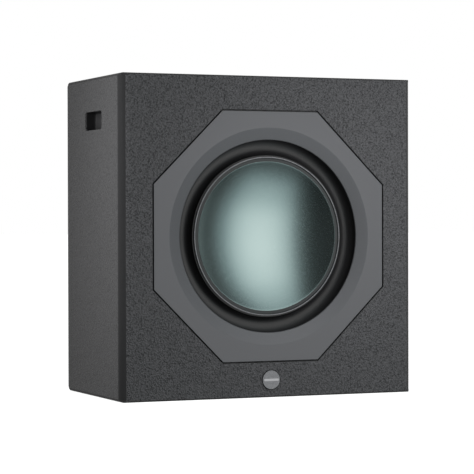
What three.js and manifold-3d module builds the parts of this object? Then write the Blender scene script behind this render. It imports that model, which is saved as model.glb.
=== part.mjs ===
// Active subwoofer: a sealed box with one long-throw driver in front and a plate amplifier behind.
// Millimetres, +Z up, the driver faces -Y, the origin is under the middle of the whole object.

import * as THREE from 'three';
import { mergeVertices } from 'three/addons/utils/BufferGeometryUtils.js';
import Module from 'manifold-3d';

const wasm = await Module();
wasm.setup();

// ---- Driving dimensions ----------------------------------------------------------------------

const CLEARANCE = 0.3;

const CABINET = {
  width: 555,
  height: 560,
  depth: 298,
  wall: 18,
  baffle: 32,
  uprightEdge: 18,
  rearEdge: 16,
  frontEdge: 3,
  sideEdge: 6,
};

const HANDLE = {
  length: 87,
  height: 32,
  pocket: 20,
  corner: 6,
  wall: 2,
  floor: 2.5,
  fromFront: 140.5,
  centreZ: 484,
};

const DRIVER = {
  centreZ: 281,
  flangeRadius: 197,
  flangeFront: 8.6,
  flangeBack: 14.3,
  seatMargin: 1,
  shellRadius: 182,
  shellMargin: 2.5,
  throatRadius: 178.3,
  throatBack: 32,
  gasket: 1,
  boltCircle: 190.5,
  boltCount: 8,
  boltRadius: 2.5,
  boltHeadRadius: 5,
  boltLength: 22,
  spokes: 6,
  shelfFront: 77,
  seatFront: 99.7,
  seatBack: 104.7,
};

const TRIM = {
  acrossFlats: 435.4,
  thickness: 8,
  groove: 2.2,
  dishRadius: 187.5,
  openingRadius: 168,
  dishDepth: 6,
  pegRadius: 3,
  pegLength: 8,
  pegCircle: 205,
};

const CONE = {
  rimRadius: 139.2,
  rimFront: 12,
  rimBack: 15,
  lineWidth: 2.3,
  bandDrop: 1.8,
  dishRadius: 130,
  dishDepth: 35.8,
  skin: 1.5,
};

const SURROUND = {
  innerRadius: 141,
  outerRadius: 176.4,
  rollDepth: 18,
  thickness: 1.5,
  innerLip: 134.5,
  outerLip: 183,
};

const COIL = {
  formerInner: 37,
  formerOuter: 38.2,
  formerFront: 49.4,
  formerBack: 128,
  windingOuter: 40.7,
  windingFront: 96,
  windingBack: 126,
};

const SPIDER = { outerRadius: 92, footRadius: 83, middle: 73.4, wave: 2.2, cloth: 0.9, rolls: 3 };

const MOTOR = {
  gapOuter: 41.5,
  platesRadius: 85,
  topPlate: 12,
  magnetInner: 46,
  magnetOuter: 90,
  magnet: 35,
  backPlate: 12.4,
  poleRadius: 36,
  poleFront: 104,
  ventRadius: 14,
};

const TERMINALS = { x: [-15, 15], y: [86, 102], z: [-117, -106.3] };
const LEAD = { radius: 1.2, wireRadius: 3 };

const BADGE = { radius: 17, centreZ: 30.5, proud: 1.5, recess: 2.3, edge: 1 };

const BRACE = { front: 190, thickness: 15, holeRadius: 95, window: 92, windowCorner: 20, windowOffset: 178 };
const BATT = { halfWidth: 255, thickness: 24, front: 40, back: 185 };

const AMP = {
  centreZ: 270,
  width: 260,
  height: 330,
  corner: 8,
  plate: 3,
  cutoutMargin: 12,
  gasketMargin: 2,
  gasketWidth: 9,
  gasket: 1.2,
};

const SINK = { width: 180, bottomZ: 30, topZ: 150, base: 5, depth: 26, fins: 12, fin: 2.4 };

const KNOB = { radius: 12, height: 14, lift: 0.6, shaftRadius: 3, z: 5, shaftEnd: -3, pointer: 1.6 };
const KNOBS = { level: -60, crossover: 0, phase: 60 };
const POT = { radius: 8, depth: 13, bore: 3.3, boreDepth: 6 };

const TOGGLE = { x: -60, z: -45, length: 22, height: 10, depth: 9, travel: 3, lever: 6, proud: 4 };
const JACKS = { line_input_left: 20, line_input_right: 50 };
const JACK = { z: -45, radius: 4.1, flange: 6, flangeThickness: 1.5, reach: 10, back: 10, bore: 1.6 };
const LED = { x: -20, z: -45, radius: 2.5, flange: 3.4, proud: 3 };

const ROCKER = {
  x: -55,
  z: -115,
  width: 24,
  height: 32,
  flange: 1.5,
  mouthWidth: 18,
  mouthHeight: 26,
  body: 18,
  pocket: 11,
  tilt: 8,
  pivot: 3,
};

const INLET = {
  x: 45,
  z: -115,
  width: 52,
  height: 46,
  flange: 2.5,
  bodyWidth: 47,
  bodyHeight: 41,
  bodyBack: -20,
  socketWidth: 24.5,
  socketHeight: 16.5,
  socketZ: 9,
  socketDepth: 20,
  pinLength: 12,
  slotWidth: 26,
  slotHeight: 8,
  slotZ: -12,
  slotDepth: 21,
};

const BOARD = { width: 200, bottomZ: -60, topZ: 120, thickness: 1.6, back: -20.4, rail: 6 };
const CAPACITOR = { radius: 16, length: 42, z: 80, spacing: 60 };
const TRANSFORMER = { x: -150, y: 243, outer: 35, inner: 12, height: 40, washer: 18, bolt: 3 };

// ---- Geometry helpers ------------------------------------------------------------------------

const X_AXIS = new THREE.Vector3(1, 0, 0);
const Y_AXIS = new THREE.Vector3(0, 1, 0);
const Z_AXIS = new THREE.Vector3(0, 0, 1);

function toSolid(geometry) {
  const bare = geometry.clone();
  bare.deleteAttribute('normal');
  bare.deleteAttribute('uv');
  const merged = mergeVertices(bare, 1e-4);
  const index = merged.getIndex().array;
  const kept = [];
  for (let i = 0; i < index.length; i += 3) {
    const [a, b, c] = [index[i], index[i + 1], index[i + 2]];
    if (a !== b && b !== c && c !== a) kept.push(a, b, c);
  }
  const vertProperties = new Float32Array(merged.getAttribute('position').array);
  const triVerts = new Uint32Array(kept);
  return new wasm.Manifold(new wasm.Mesh({ numProp: 3, vertProperties, triVerts }));
}

function toGeometry(solid) {
  const mesh = solid.getMesh();
  const geometry = new THREE.BufferGeometry();
  geometry.setAttribute('position', new THREE.BufferAttribute(mesh.vertProperties, 3));
  geometry.setIndex(new THREE.BufferAttribute(mesh.triVerts, 1));
  geometry.computeVertexNormals();
  return geometry;
}

function cut(geometry, tools) {
  return toGeometry(tools.reduce((solid, tool) => solid.subtract(toSolid(tool)), toSolid(geometry)));
}

function join(geometries) {
  return toGeometry(geometries.map(toSolid).reduce((whole, solid) => whole.add(solid)));
}

function common(geometries) {
  return toGeometry(geometries.map(toSolid).reduce((whole, solid) => whole.intersect(solid)));
}

function box([x0, x1], [y0, y1], [z0, z1]) {
  const geometry = new THREE.BoxGeometry(x1 - x0, y1 - y0, z1 - z0);
  return geometry.translate((x0 + x1) / 2, (y0 + y1) / 2, (z0 + z1) / 2);
}

// A round bar along Y.
function rod(radius, [y0, y1], x = 0, z = 0, sides = 16) {
  const geometry = new THREE.CylinderGeometry(radius, radius, y1 - y0, sides);
  return geometry.translate(x, (y0 + y1) / 2, z);
}

function signedArea(points) {
  return points.reduce((sum, [r, y], i) => {
    const [nextR, nextY] = points[(i + 1) % points.length];
    return sum + (r * nextY - nextR * y) / 2;
  }, 0);
}

// Turns a closed (radius, y) outline about the Y axis.
function revolve(outline, sides) {
  const ordered = signedArea(outline) > 0 ? outline : [...outline].reverse();
  const points = [...ordered, ordered[0]].map(([r, y]) => new THREE.Vector2(r, y));
  return toGeometry(toSolid(new THREE.LatheGeometry(points, sides)));
}

function roundedRectangle(width, height, corner) {
  const [x, y] = [width / 2, height / 2];
  const shape = new THREE.Shape();
  shape.moveTo(-x + corner, -y);
  shape.lineTo(x - corner, -y);
  shape.absarc(x - corner, -y + corner, corner, -Math.PI / 2, 0);
  shape.lineTo(x, y - corner);
  shape.absarc(x - corner, y - corner, corner, 0, Math.PI / 2);
  shape.lineTo(-x + corner, y);
  shape.absarc(-x + corner, y - corner, corner, Math.PI / 2, Math.PI);
  shape.lineTo(-x, -y + corner);
  shape.absarc(-x + corner, -y + corner, corner, Math.PI, Math.PI * 1.5);
  return shape;
}

function polygon(points) {
  return new THREE.Shape(points.map(([x, y]) => new THREE.Vector2(x, y)));
}

function extrude(shape, depth, curveSegments = 2) {
  return new THREE.ExtrudeGeometry(shape, { depth, curveSegments, bevelEnabled: false });
}

// A prism along Z of a shape drawn in X and Y.
function prismZ(shape, [z0, z1], curveSegments) {
  return extrude(shape, z1 - z0, curveSegments).translate(0, 0, z0);
}

// A prism along Y of a shape drawn in X and Z.
function prismY(shape, [y0, y1], curveSegments) {
  const turn = new THREE.Matrix4().makeBasis(X_AXIS, Z_AXIS, Y_AXIS.clone().negate());
  return extrude(shape, y1 - y0, curveSegments).applyMatrix4(turn).translate(0, y1, 0);
}

// A prism along X of a shape drawn in Y and Z.
function prismX(shape, [x0, x1], curveSegments) {
  const turn = new THREE.Matrix4().makeBasis(Y_AXIS, Z_AXIS, X_AXIS);
  return extrude(shape, x1 - x0, curveSegments).applyMatrix4(turn).translate(x0, 0, 0);
}

function octagon(acrossFlats) {
  const circumradius = acrossFlats / 2 / Math.cos(Math.PI / 8);
  const corner = (i) => Math.PI / 8 + (i * Math.PI) / 4;
  return polygon(
    Array.from({ length: 8 }, (_, i) => [
      circumradius * Math.cos(corner(i)),
      circumradius * Math.sin(corner(i)),
    ]),
  );
}

function tube(points, radius, sides, steps) {
  const section = new THREE.Shape();
  section.absarc(0, 0, radius, 0, Math.PI * 2);
  const path = new THREE.CatmullRomCurve3(points.map((point) => new THREE.Vector3(...point)));
  const options = { steps, curveSegments: sides / 2, bevelEnabled: false, extrudePath: path };
  return toGeometry(toSolid(new THREE.ExtrudeGeometry(section, options)));
}

function onCircle(count, radius, firstAngle = 0) {
  return Array.from({ length: count }, (_, i) => {
    const angle = firstAngle + (i * Math.PI * 2) / count;
    return [radius * Math.cos(angle), radius * Math.sin(angle), angle];
  });
}

// ---- Materials -------------------------------------------------------------------------------

function finish(color, roughness, metalness) {
  return () => new THREE.MeshStandardMaterial({ color, roughness, metalness });
}

const FINISH = {
  texturedPaint: finish(0x4a4b4d, 0.75, 0),
  satinPaint: finish(0x4d4e50, 0.55, 0),
  fibreboard: finish(0x8d7350, 0.9, 0),
  blackPlastic: finish(0x161617, 0.5, 0),
  wadding: finish(0xd9d6cc, 0.95, 0),
  trim: finish(0x66676a, 0.45, 0.3),
  tealMetal: finish(0x6f8d8c, 0.35, 1),
  spunMetal: finish(0x7d7e80, 0.35, 1),
  rubber: finish(0x111112, 0.6, 0),
  foam: finish(0x1d1d1e, 0.95, 0),
  castMetal: finish(0x1b1b1c, 0.6, 0.6),
  paper: finish(0xb59a6a, 0.8, 0),
  copper: finish(0xb06a3a, 0.4, 1),
  spiderCloth: finish(0xc9a256, 0.9, 0),
  steel: finish(0xa6a7a9, 0.35, 1),
  ferrite: finish(0x2c2c2d, 0.8, 0),
  boltSteel: finish(0x202021, 0.45, 1),
  platePaint: finish(0x1a1a1b, 0.6, 0.2),
  boardGreen: finish(0x1f4a2c, 0.5, 0),
  signalLens: finish(0x3a7d44, 0.2, 0),
};

// ---- Assembly groups -------------------------------------------------------------------------

const subwoofer = new THREE.Group();
const cabinet = new THREE.Group();
const driver = new THREE.Group();
const amplifier = new THREE.Group();

// The front face is the cabinet group's y = 0 plane; the badge and the heat sink set the full depth.
const sinkBack = AMP.gasket + AMP.plate + 3 * CLEARANCE + SINK.depth;
cabinet.position.y = -(CABINET.depth + sinkBack - BADGE.proud) / 2;
driver.position.z = DRIVER.centreZ;
amplifier.position.set(0, CABINET.depth, AMP.centreZ);
cabinet.add(driver, amplifier);
subwoofer.add(cabinet);

function add(group, name, geometry, material) {
  const mesh = new THREE.Mesh(geometry, material());
  mesh.name = name;
  group.add(mesh);
  return mesh;
}

// ---- Cabinet ---------------------------------------------------------------------------------

const halfWidth = CABINET.width / 2;
const boardFront = CABINET.baffle + CLEARANCE;
const boardBack = CABINET.depth - CABINET.wall - CLEARANCE;

// The cabinet's outside, with every edge eased: panels are trimmed to it.
function envelope() {
  const { width, height, depth, uprightEdge, rearEdge, frontEdge, sideEdge } = CABINET;
  const plan = roundedRectangle(width, depth, uprightEdge);
  const front = roundedRectangle(width, height, sideEdge);
  const side = new THREE.Shape();
  side.moveTo(frontEdge, 0);
  side.lineTo(depth - rearEdge, 0);
  side.absarc(depth - rearEdge, rearEdge, rearEdge, -Math.PI / 2, 0);
  side.lineTo(depth, height - rearEdge);
  side.absarc(depth - rearEdge, height - rearEdge, rearEdge, 0, Math.PI / 2);
  side.lineTo(frontEdge, height);
  side.absarc(frontEdge, height - frontEdge, frontEdge, Math.PI / 2, Math.PI);
  side.lineTo(0, frontEdge);
  side.absarc(frontEdge, frontEdge, frontEdge, Math.PI, Math.PI * 1.5);
  return common([
    prismZ(plan, [0, height]).translate(0, depth / 2, 0),
    prismY(front, [0, depth], 1).translate(0, 0, height / 2),
    prismX(side, [-width / 2, width / 2]),
  ]);
}

const outside = envelope();

function panel(xs, ys, zs) {
  return common([outside, box(xs, ys, zs)]);
}

function frontBaffle() {
  const { centreZ, flangeRadius, flangeBack, shellRadius, gasket, boltCircle, boltCount } = DRIVER;
  const recessFloor = flangeBack + gasket + 2 * CLEARANCE;
  const board = panel([-halfWidth, halfWidth], [0, CABINET.baffle], [0, CABINET.height]);
  const grooved = octagon(TRIM.acrossFlats + 2 * TRIM.groove);
  const trimFloor = TRIM.thickness + CLEARANCE;
  const beyond = CABINET.baffle + 1;
  const driverCuts = [
    prismY(grooved, [-1, trimFloor]),
    rod(flangeRadius + DRIVER.seatMargin, [-1, recessFloor], 0, 0, 36),
    rod(shellRadius + DRIVER.shellMargin, [-1, beyond], 0, 0, 36),
    ...onCircle(boltCount, boltCircle, Math.PI / boltCount).map(([x, z]) =>
      rod(DRIVER.boltRadius + CLEARANCE, [0, beyond], x, z, 6),
    ),
    ...onCircle(4, TRIM.pegCircle, Math.PI / 4).map(([x, z]) =>
      rod(TRIM.pegRadius + CLEARANCE, [0, trimFloor + TRIM.pegLength], x, z, 8),
    ),
  ].map((tool) => tool.translate(0, 0, centreZ));
  const badgeRecess = rod(BADGE.radius + CLEARANCE, [-1, BADGE.recess], 0, BADGE.centreZ, 24);
  return cut(board, [...driverCuts, badgeRecess]);
}

function backPanel() {
  const board = panel(
    [-halfWidth, halfWidth],
    [CABINET.depth - CABINET.wall, CABINET.depth],
    [0, CABINET.height],
  );
  const [width, height] = [AMP.width - 2 * AMP.cutoutMargin, AMP.height - 2 * AMP.cutoutMargin];
  const opening = prismY(roundedRectangle(width, height, AMP.corner), [
    CABINET.depth - CABINET.wall - 1,
    CABINET.depth + 1,
  ]);
  return cut(board, [opening.translate(0, 0, AMP.centreZ)]);
}

function handleOutline(margin) {
  const { length, height, corner } = HANDLE;
  return roundedRectangle(length + 2 * margin, height + 2 * margin, corner + margin);
}

// side is -1 for the left panel and 1 for the right one.
function sidePanel(side) {
  const xs = [side * halfWidth, side * (halfWidth - CABINET.wall)].sort((a, b) => a - b);
  const zs = [CABINET.wall + CLEARANCE, CABINET.height - CABINET.wall - CLEARANCE];
  const hole = prismX(handleOutline(HANDLE.wall + CLEARANCE), [xs[0] - 1, xs[1] + 1]);
  return cut(box(xs, [boardFront, boardBack], zs), [hole.translate(0, HANDLE.fromFront, HANDLE.centreZ)]);
}

function handleCup(side) {
  const mouth = side * halfWidth;
  const floorX = side * (halfWidth - HANDLE.pocket);
  const backX = side * (halfWidth - HANDLE.pocket - HANDLE.floor);
  const beyondX = side * (halfWidth + 1);
  const span = (a, b) => [Math.min(a, b), Math.max(a, b)];
  const body = prismX(handleOutline(HANDLE.wall), span(mouth, backX));
  const pocket = prismX(handleOutline(0), span(beyondX, floorX));
  return cut(body, [pocket]).translate(0, HANDLE.fromFront, HANDLE.centreZ);
}

function windowBrace() {
  const { front, thickness, holeRadius, window, windowCorner, windowOffset } = BRACE;
  const x = halfWidth - CABINET.wall - CLEARANCE;
  const z = CABINET.wall + CLEARANCE;
  const board = box([-x, x], [front, front + thickness], [z, CABINET.height - z]);
  const through = [front - 1, front + thickness + 1];
  const windows = [-1, 1].flatMap((across) =>
    [-1, 1].map((up) =>
      prismY(roundedRectangle(window, window, windowCorner), through, 1).translate(
        across * windowOffset,
        0,
        CABINET.height / 2 + up * windowOffset,
      ),
    ),
  );
  return cut(board, [rod(holeRadius, through, 0, DRIVER.centreZ, 24), ...windows]);
}

function buildCabinet() {
  const full = [-halfWidth, halfWidth];
  const between = [boardFront, boardBack];
  const { height, wall } = CABINET;
  add(cabinet, 'front_baffle', frontBaffle(), FINISH.texturedPaint);
  add(cabinet, 'back_panel', backPanel(), FINISH.satinPaint);
  add(cabinet, 'top_panel', panel(full, between, [height - wall, height]), FINISH.satinPaint);
  add(cabinet, 'bottom_panel', bottomPanel(full, between), FINISH.satinPaint);
  add(cabinet, 'left_panel', sidePanel(-1), FINISH.satinPaint);
  add(cabinet, 'right_panel', sidePanel(1), FINISH.satinPaint);
  add(cabinet, 'left_handle_cup', handleCup(-1), FINISH.satinPaint);
  add(cabinet, 'right_handle_cup', handleCup(1), FINISH.satinPaint);
  add(cabinet, 'window_brace', windowBrace(), FINISH.fibreboard);
  const { halfWidth: reach, thickness, front, back } = BATT;
  const inside = wall + 2 * CLEARANCE;
  const batt = (z0, z1) => box([-reach, reach], [front, back], [z0, z1]);
  const ceiling = height - inside;
  add(cabinet, 'upper_wadding', batt(ceiling - thickness, ceiling), FINISH.wadding);
  add(cabinet, 'lower_wadding', batt(inside, inside + thickness), FINISH.wadding);
}

// The floor board has the bolt hole of the transformer that stands on it.
function bottomPanel(full, between) {
  const { x, y, bolt } = TRANSFORMER;
  const hole = new THREE.CylinderGeometry(bolt + CLEARANCE, bolt + CLEARANCE, CABINET.wall, 8);
  hole.rotateX(Math.PI / 2).translate(x, y, CABINET.wall);
  return cut(panel(full, between, [0, CABINET.wall]), [hole]);
}

function badge() {
  const { radius, proud, recess, edge } = BADGE;
  const outline = [
    [0, -proud],
    [radius - edge, -proud],
    [radius, edge - proud],
    [radius, recess - CLEARANCE],
    [0, recess - CLEARANCE],
  ];
  return revolve(outline, 24).translate(0, 0, BADGE.centreZ);
}

// ---- Driver ----------------------------------------------------------------------------------

function trimPlate() {
  const plate = prismY(octagon(TRIM.acrossFlats), [0, TRIM.thickness]);
  const dish = revolve(
    [
      [0, -1],
      [TRIM.dishRadius + 3, -1],
      [TRIM.dishRadius, 0],
      [TRIM.openingRadius, TRIM.dishDepth],
      [TRIM.openingRadius, TRIM.thickness + 1],
      [0, TRIM.thickness + 1],
    ],
    48,
  );
  const pegSpan = [TRIM.thickness - 1, TRIM.thickness + TRIM.pegLength];
  const pegs = onCircle(4, TRIM.pegCircle, Math.PI / 4).map(([x, z]) =>
    rod(TRIM.pegRadius, pegSpan, x, z, 8),
  );
  return join([cut(plate, [dish]), ...pegs]);
}

function basketFrame() {
  const { flangeRadius, flangeFront, flangeBack, shellRadius, throatRadius, throatBack } = DRIVER;
  const { shelfFront, seatFront, seatBack } = DRIVER;
  const lipFloor = TRIM.thickness + CLEARANCE + SURROUND.thickness + CLEARANCE;
  const shelf = 3;
  const outline = [
    [flangeRadius, flangeFront],
    [flangeRadius, flangeBack],
    [shellRadius + 1, flangeBack],
    [shellRadius, flangeBack + 3],
    [shellRadius, throatBack + 2],
    [146, 68],
    [106, 86],
    [106, seatBack],
    [50, seatBack],
    [50, seatFront],
    [96, seatFront],
    [96, shelfFront + shelf],
    [82, shelfFront + shelf],
    [82, shelfFront],
    [100, shelfFront],
    [140, 63],
    [throatRadius - 6, throatBack + 5],
    [throatRadius, throatBack],
    [throatRadius, lipFloor],
    [SURROUND.outerLip + 1, lipFloor],
    [SURROUND.outerLip + 1, flangeFront],
  ];
  const spokeAngle = Math.PI / DRIVER.spokes;
  const windowAngles = onCircle(DRIVER.spokes, 1, 0).map(([, , angle]) => angle);
  const windows = windowAngles.map((angle) =>
    box([95, 200], [24, shelfFront - 4], [-58, 58]).rotateY(-angle),
  );
  const boltHoles = onCircle(DRIVER.boltCount, DRIVER.boltCircle, Math.PI / DRIVER.boltCount).map(
    ([x, z]) => boltShape(CLEARANCE, flangeBack + 1 - flangeFront).translate(x, 0, z),
  );
  const body = revolve(outline, 36);
  return cut(body.rotateY(spokeAngle / 2), [...windows, ...boltHoles]);
}

// A countersunk bolt, its head flush with the flange; margin makes the matching hole.
function boltShape(margin, length) {
  const { boltRadius, boltHeadRadius, flangeFront } = DRIVER;
  const headDepth = boltHeadRadius - boltRadius;
  const head = flangeFront + (margin ? -1 : 0.1);
  const outline = [
    [0, head],
    [boltHeadRadius + margin, head],
    [boltHeadRadius + margin, flangeFront + (margin ? 0 : 0.1)],
    [boltRadius + margin, flangeFront + headDepth],
    [boltRadius + margin, flangeFront + length],
    [0, flangeFront + length],
  ];
  const unique = margin ? outline : outline.filter((_, i) => i !== 2);
  return revolve(unique, 6);
}

// A foam ring between the flange and the baffle, outside the circle of bolts.
function driverGasket() {
  const y = DRIVER.flangeBack + CLEARANCE;
  const inner = DRIVER.boltCircle + DRIVER.boltRadius + 1;
  return tubeRing([inner, DRIVER.flangeRadius - 0.5], [y, y + DRIVER.gasket], 36);
}

// The front of the spherical dish at a radius, measured back from the cabinet's face.
const bandFloor = CONE.rimFront + CONE.bandDrop;
const dishSphere = (CONE.dishRadius ** 2 + CONE.dishDepth ** 2) / (2 * CONE.dishDepth);
const dishBottom = bandFloor + CONE.dishDepth;

function dishFront(radius) {
  return dishBottom - dishSphere + Math.sqrt(dishSphere ** 2 - radius ** 2);
}

function coneDish() {
  const rings = 5;
  const radii = Array.from({ length: rings }, (_, i) => (CONE.dishRadius * i) / (rings - 1));
  const front = radii.map((radius) => [radius, dishFront(radius)]);
  const back = radii.map((radius) => [radius, dishFront(radius) + CONE.skin]).reverse();
  const line = CONE.rimRadius - CONE.lineWidth;
  const rim = [
    [line - 0.4, bandFloor],
    [line, CONE.rimFront],
    [CONE.rimRadius - 0.5, CONE.rimFront],
    [CONE.rimRadius, CONE.rimFront + 0.8],
    [CONE.rimRadius, CONE.rimBack],
    [CONE.dishRadius + 1.5, CONE.rimBack],
  ];
  return revolve([...front, ...rim, ...back], 36);
}

// An inward half-roll: the rubber sinks behind the cone's rim and comes back up under the trim plate.
function surroundRing() {
  const { innerRadius, outerRadius, rollDepth, thickness, innerLip, outerLip } = SURROUND;
  const innerY = CONE.rimBack + CLEARANCE;
  const outerY = TRIM.thickness + CLEARANCE;
  const steps = 6;
  const half = thickness / 2;
  const middle = (innerRadius + outerRadius) / 2;
  const reach = (outerRadius - innerRadius) / 2;
  const roll = (grow) =>
    Array.from({ length: steps + 1 }, (_, i) => {
      const angle = (Math.PI * i) / steps;
      const along = (1 - Math.cos(angle)) / 2;
      const base = innerY + half + (outerY - innerY) * along;
      const radius = middle - (reach + grow) * Math.cos(angle);
      return [radius, base + (rollDepth + grow) * Math.sin(angle)];
    }).slice(1, -1);
  const outline = [
    [innerLip, innerY],
    [innerRadius + half, innerY],
    ...roll(-half),
    [outerRadius - half, outerY],
    [outerLip, outerY],
    [outerLip, outerY + thickness],
    [outerRadius + half, outerY + thickness],
    ...roll(half).reverse(),
    [innerRadius - half, innerY + thickness],
    [innerLip, innerY + thickness],
  ];
  return revolve(outline, 36);
}

function tubeRing([inner, outer], [y0, y1], sides) {
  return revolve(
    [
      [inner, y0],
      [outer, y0],
      [outer, y1],
      [inner, y1],
    ],
    sides,
  );
}

function spiderDisc() {
  const { outerRadius, footRadius, middle, wave, cloth, rolls } = SPIDER;
  const neck = COIL.formerOuter + CLEARANCE;
  const footY = DRIVER.shelfFront - CLEARANCE - cloth;
  const firstRoll = neck + 4;
  const pitch = (footRadius - firstRoll) / (rolls * 2);
  const zigzag = Array.from({ length: rolls * 2 }, (_, i) => [
    firstRoll + pitch * i,
    middle + (i % 2 ? wave : -wave),
  ]);
  const front = [[neck, middle], ...zigzag, [footRadius, footY], [outerRadius, footY]];
  const back = front.map(([radius, y]) => [radius, y + cloth]).reverse();
  return revolve([...front, ...back], 20);
}

function backYoke() {
  const { ventRadius, poleRadius, poleFront, platesRadius, magnet, topPlate, backPlate } = MOTOR;
  const plateFront = DRIVER.seatBack + topPlate + magnet + 3 * CLEARANCE;
  const outline = [
    [ventRadius, poleFront],
    [poleRadius, poleFront],
    [poleRadius, plateFront],
    [platesRadius, plateFront],
    [platesRadius, plateFront + backPlate],
    [ventRadius, plateFront + backPlate],
  ];
  return revolve(outline, 24);
}

function tinselLead(side) {
  const { radius } = LEAD;
  const route = [
    [96, DRIVER.shelfFront - CLEARANCE - radius],
    [88, 65],
    [70, 58],
    [52, 58],
    [COIL.formerOuter + CLEARANCE + radius, 63],
  ];
  return tube(route.map(([r, y]) => [side * r, y, 0]), radius, 6, 8);
}

function buildDriver() {
  const seat = DRIVER.seatBack + CLEARANCE;
  const magnetFront = seat + MOTOR.topPlate + CLEARANCE;
  add(driver, 'trim_plate', trimPlate(), FINISH.trim);
  add(driver, 'driver_gasket', driverGasket(), FINISH.foam);
  add(driver, 'basket_frame', basketFrame(), FINISH.castMetal);
  add(driver, 'cone_dish', coneDish(), FINISH.tealMetal);
  add(driver, 'surround', surroundRing(), FINISH.rubber);
  const former = [COIL.formerInner, COIL.formerOuter];
  add(driver, 'coil_former', tubeRing(former, [COIL.formerFront, COIL.formerBack], 20), FINISH.paper);
  const winding = [COIL.formerOuter + CLEARANCE, COIL.windingOuter];
  add(driver, 'voice_coil', tubeRing(winding, [COIL.windingFront, COIL.windingBack], 20), FINISH.copper);
  add(driver, 'spider', spiderDisc(), FINISH.spiderCloth);
  const topPlate = tubeRing([MOTOR.gapOuter, MOTOR.platesRadius], [seat, seat + MOTOR.topPlate], 24);
  add(driver, 'top_plate', topPlate, FINISH.steel);
  const magnetSpan = [magnetFront, magnetFront + MOTOR.magnet];
  const magnet = tubeRing([MOTOR.magnetInner, MOTOR.magnetOuter], magnetSpan, 24);
  add(driver, 'magnet_ring', magnet, FINISH.ferrite);
  add(driver, 'back_yoke', backYoke(), FINISH.steel);
  add(driver, 'terminal_block', box(TERMINALS.x, TERMINALS.y, TERMINALS.z), FINISH.blackPlastic);
  add(driver, 'tinsel_lead_left', tinselLead(-1), FINISH.copper);
  add(driver, 'tinsel_lead_right', tinselLead(1), FINISH.copper);
  onCircle(DRIVER.boltCount, DRIVER.boltCircle, Math.PI / DRIVER.boltCount).forEach(([x, z], i) => {
    const bolt = add(driver, `driver_bolt_${i + 1}`, boltShape(0, DRIVER.boltLength), FINISH.boltSteel);
    bolt.position.set(x, 0, z);
  });
}

// ---- Plate amplifier -------------------------------------------------------------------------

const plateInside = AMP.gasket + 2 * CLEARANCE;
const plateOutside = plateInside + AMP.plate;
const onPlate = plateOutside + CLEARANCE;
const underPlate = plateInside - CLEARANCE;

function ampPlate() {
  const through = [plateInside - 1, plateOutside + 1];
  const sheet = prismY(roundedRectangle(AMP.width, AMP.height, AMP.corner), [plateInside, plateOutside]);
  const roundHole = (radius, x, z) => rod(radius + CLEARANCE, through, x, z, 12);
  const window = (width, height, x, z) =>
    box([x - width / 2, x + width / 2], through, [z - height / 2, z + height / 2]);
  return cut(sheet, [
    ...Object.values(KNOBS).map((x) => roundHole(KNOB.shaftRadius, x, KNOB.z)),
    ...Object.values(JACKS).map((x) => roundHole(JACK.radius, x, JACK.z)),
    roundHole(LED.radius, LED.x, LED.z),
    window(TOGGLE.lever + 2 * TOGGLE.travel + 1, TOGGLE.lever + 1, TOGGLE.x, TOGGLE.z),
    window(ROCKER.width - 3, ROCKER.height - 3, ROCKER.x, ROCKER.z),
    window(INLET.bodyWidth + 1, INLET.bodyHeight + 1, INLET.x, INLET.z),
  ]);
}

function ampGasket() {
  const { width, height, gasketMargin, gasketWidth, gasket, corner } = AMP;
  const outer = roundedRectangle(width - 2 * gasketMargin, height - 2 * gasketMargin, corner);
  const inset = 2 * (gasketMargin + gasketWidth);
  const inner = roundedRectangle(width - inset, height - inset, corner);
  const ring = prismY(outer, [CLEARANCE, CLEARANCE + gasket]);
  return cut(ring, [prismY(inner, [0, CLEARANCE + gasket + 1])]);
}

function heatSink() {
  const { width, bottomZ, topZ, base, depth, fins, fin } = SINK;
  const pitch = (width - fin) / (fins - 1);
  const left = -width / 2;
  const comb = [[left, onPlate]];
  for (let i = 0; i < fins; i += 1) {
    const x = left + i * pitch;
    if (i > 0) comb.push([x, onPlate + base]);
    comb.push([x, onPlate + depth], [x + fin, onPlate + depth]);
    if (i < fins - 1) comb.push([x + fin, onPlate + base]);
  }
  comb.push([width / 2, onPlate]);
  return prismZ(polygon(comb.reverse()), [bottomZ, topZ]);
}

function knob() {
  const bottom = onPlate + KNOB.lift;
  const top = bottom + KNOB.height;
  const cap = revolve(
    [
      [0, KNOB.shaftEnd],
      [KNOB.shaftRadius, KNOB.shaftEnd],
      [KNOB.shaftRadius, bottom],
      [KNOB.radius, bottom],
      [KNOB.radius - 0.8, top - 1],
      [KNOB.radius - 1.8, top],
      [0, top],
    ],
    18,
  );
  const half = KNOB.pointer / 2;
  return cut(cap, [box([-half, half], [top - 1, top + 1], [KNOB.radius / 3, KNOB.radius + 1])]);
}

function potentiometer() {
  const can = rod(POT.radius, [underPlate - POT.depth, underPlate], 0, 0, 14);
  return cut(can, [rod(POT.bore, [underPlate - POT.boreDepth, underPlate + 1], 0, 0, 12)]);
}

function toggleBody() {
  const { length, height, depth, lever, travel } = TOGGLE;
  const body = box([-length / 2, length / 2], [underPlate - depth, underPlate], [-height / 2, height / 2]);
  const reach = lever / 2 + travel + 0.5;
  const side = lever / 2 + 0.5;
  return cut(body, [box([-reach, reach], [underPlate - 4, underPlate + 1], [-side, side])]);
}

function toggleLever() {
  const half = TOGGLE.lever / 2;
  const top = plateOutside + TOGGLE.proud;
  const foot = box([-half, half], [underPlate - 3.6, top], [-half, half]);
  const groove = box([-0.7, 0.7], [top - 1, top + 1], [-4, 4]);
  return cut(foot, [groove]);
}

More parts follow.
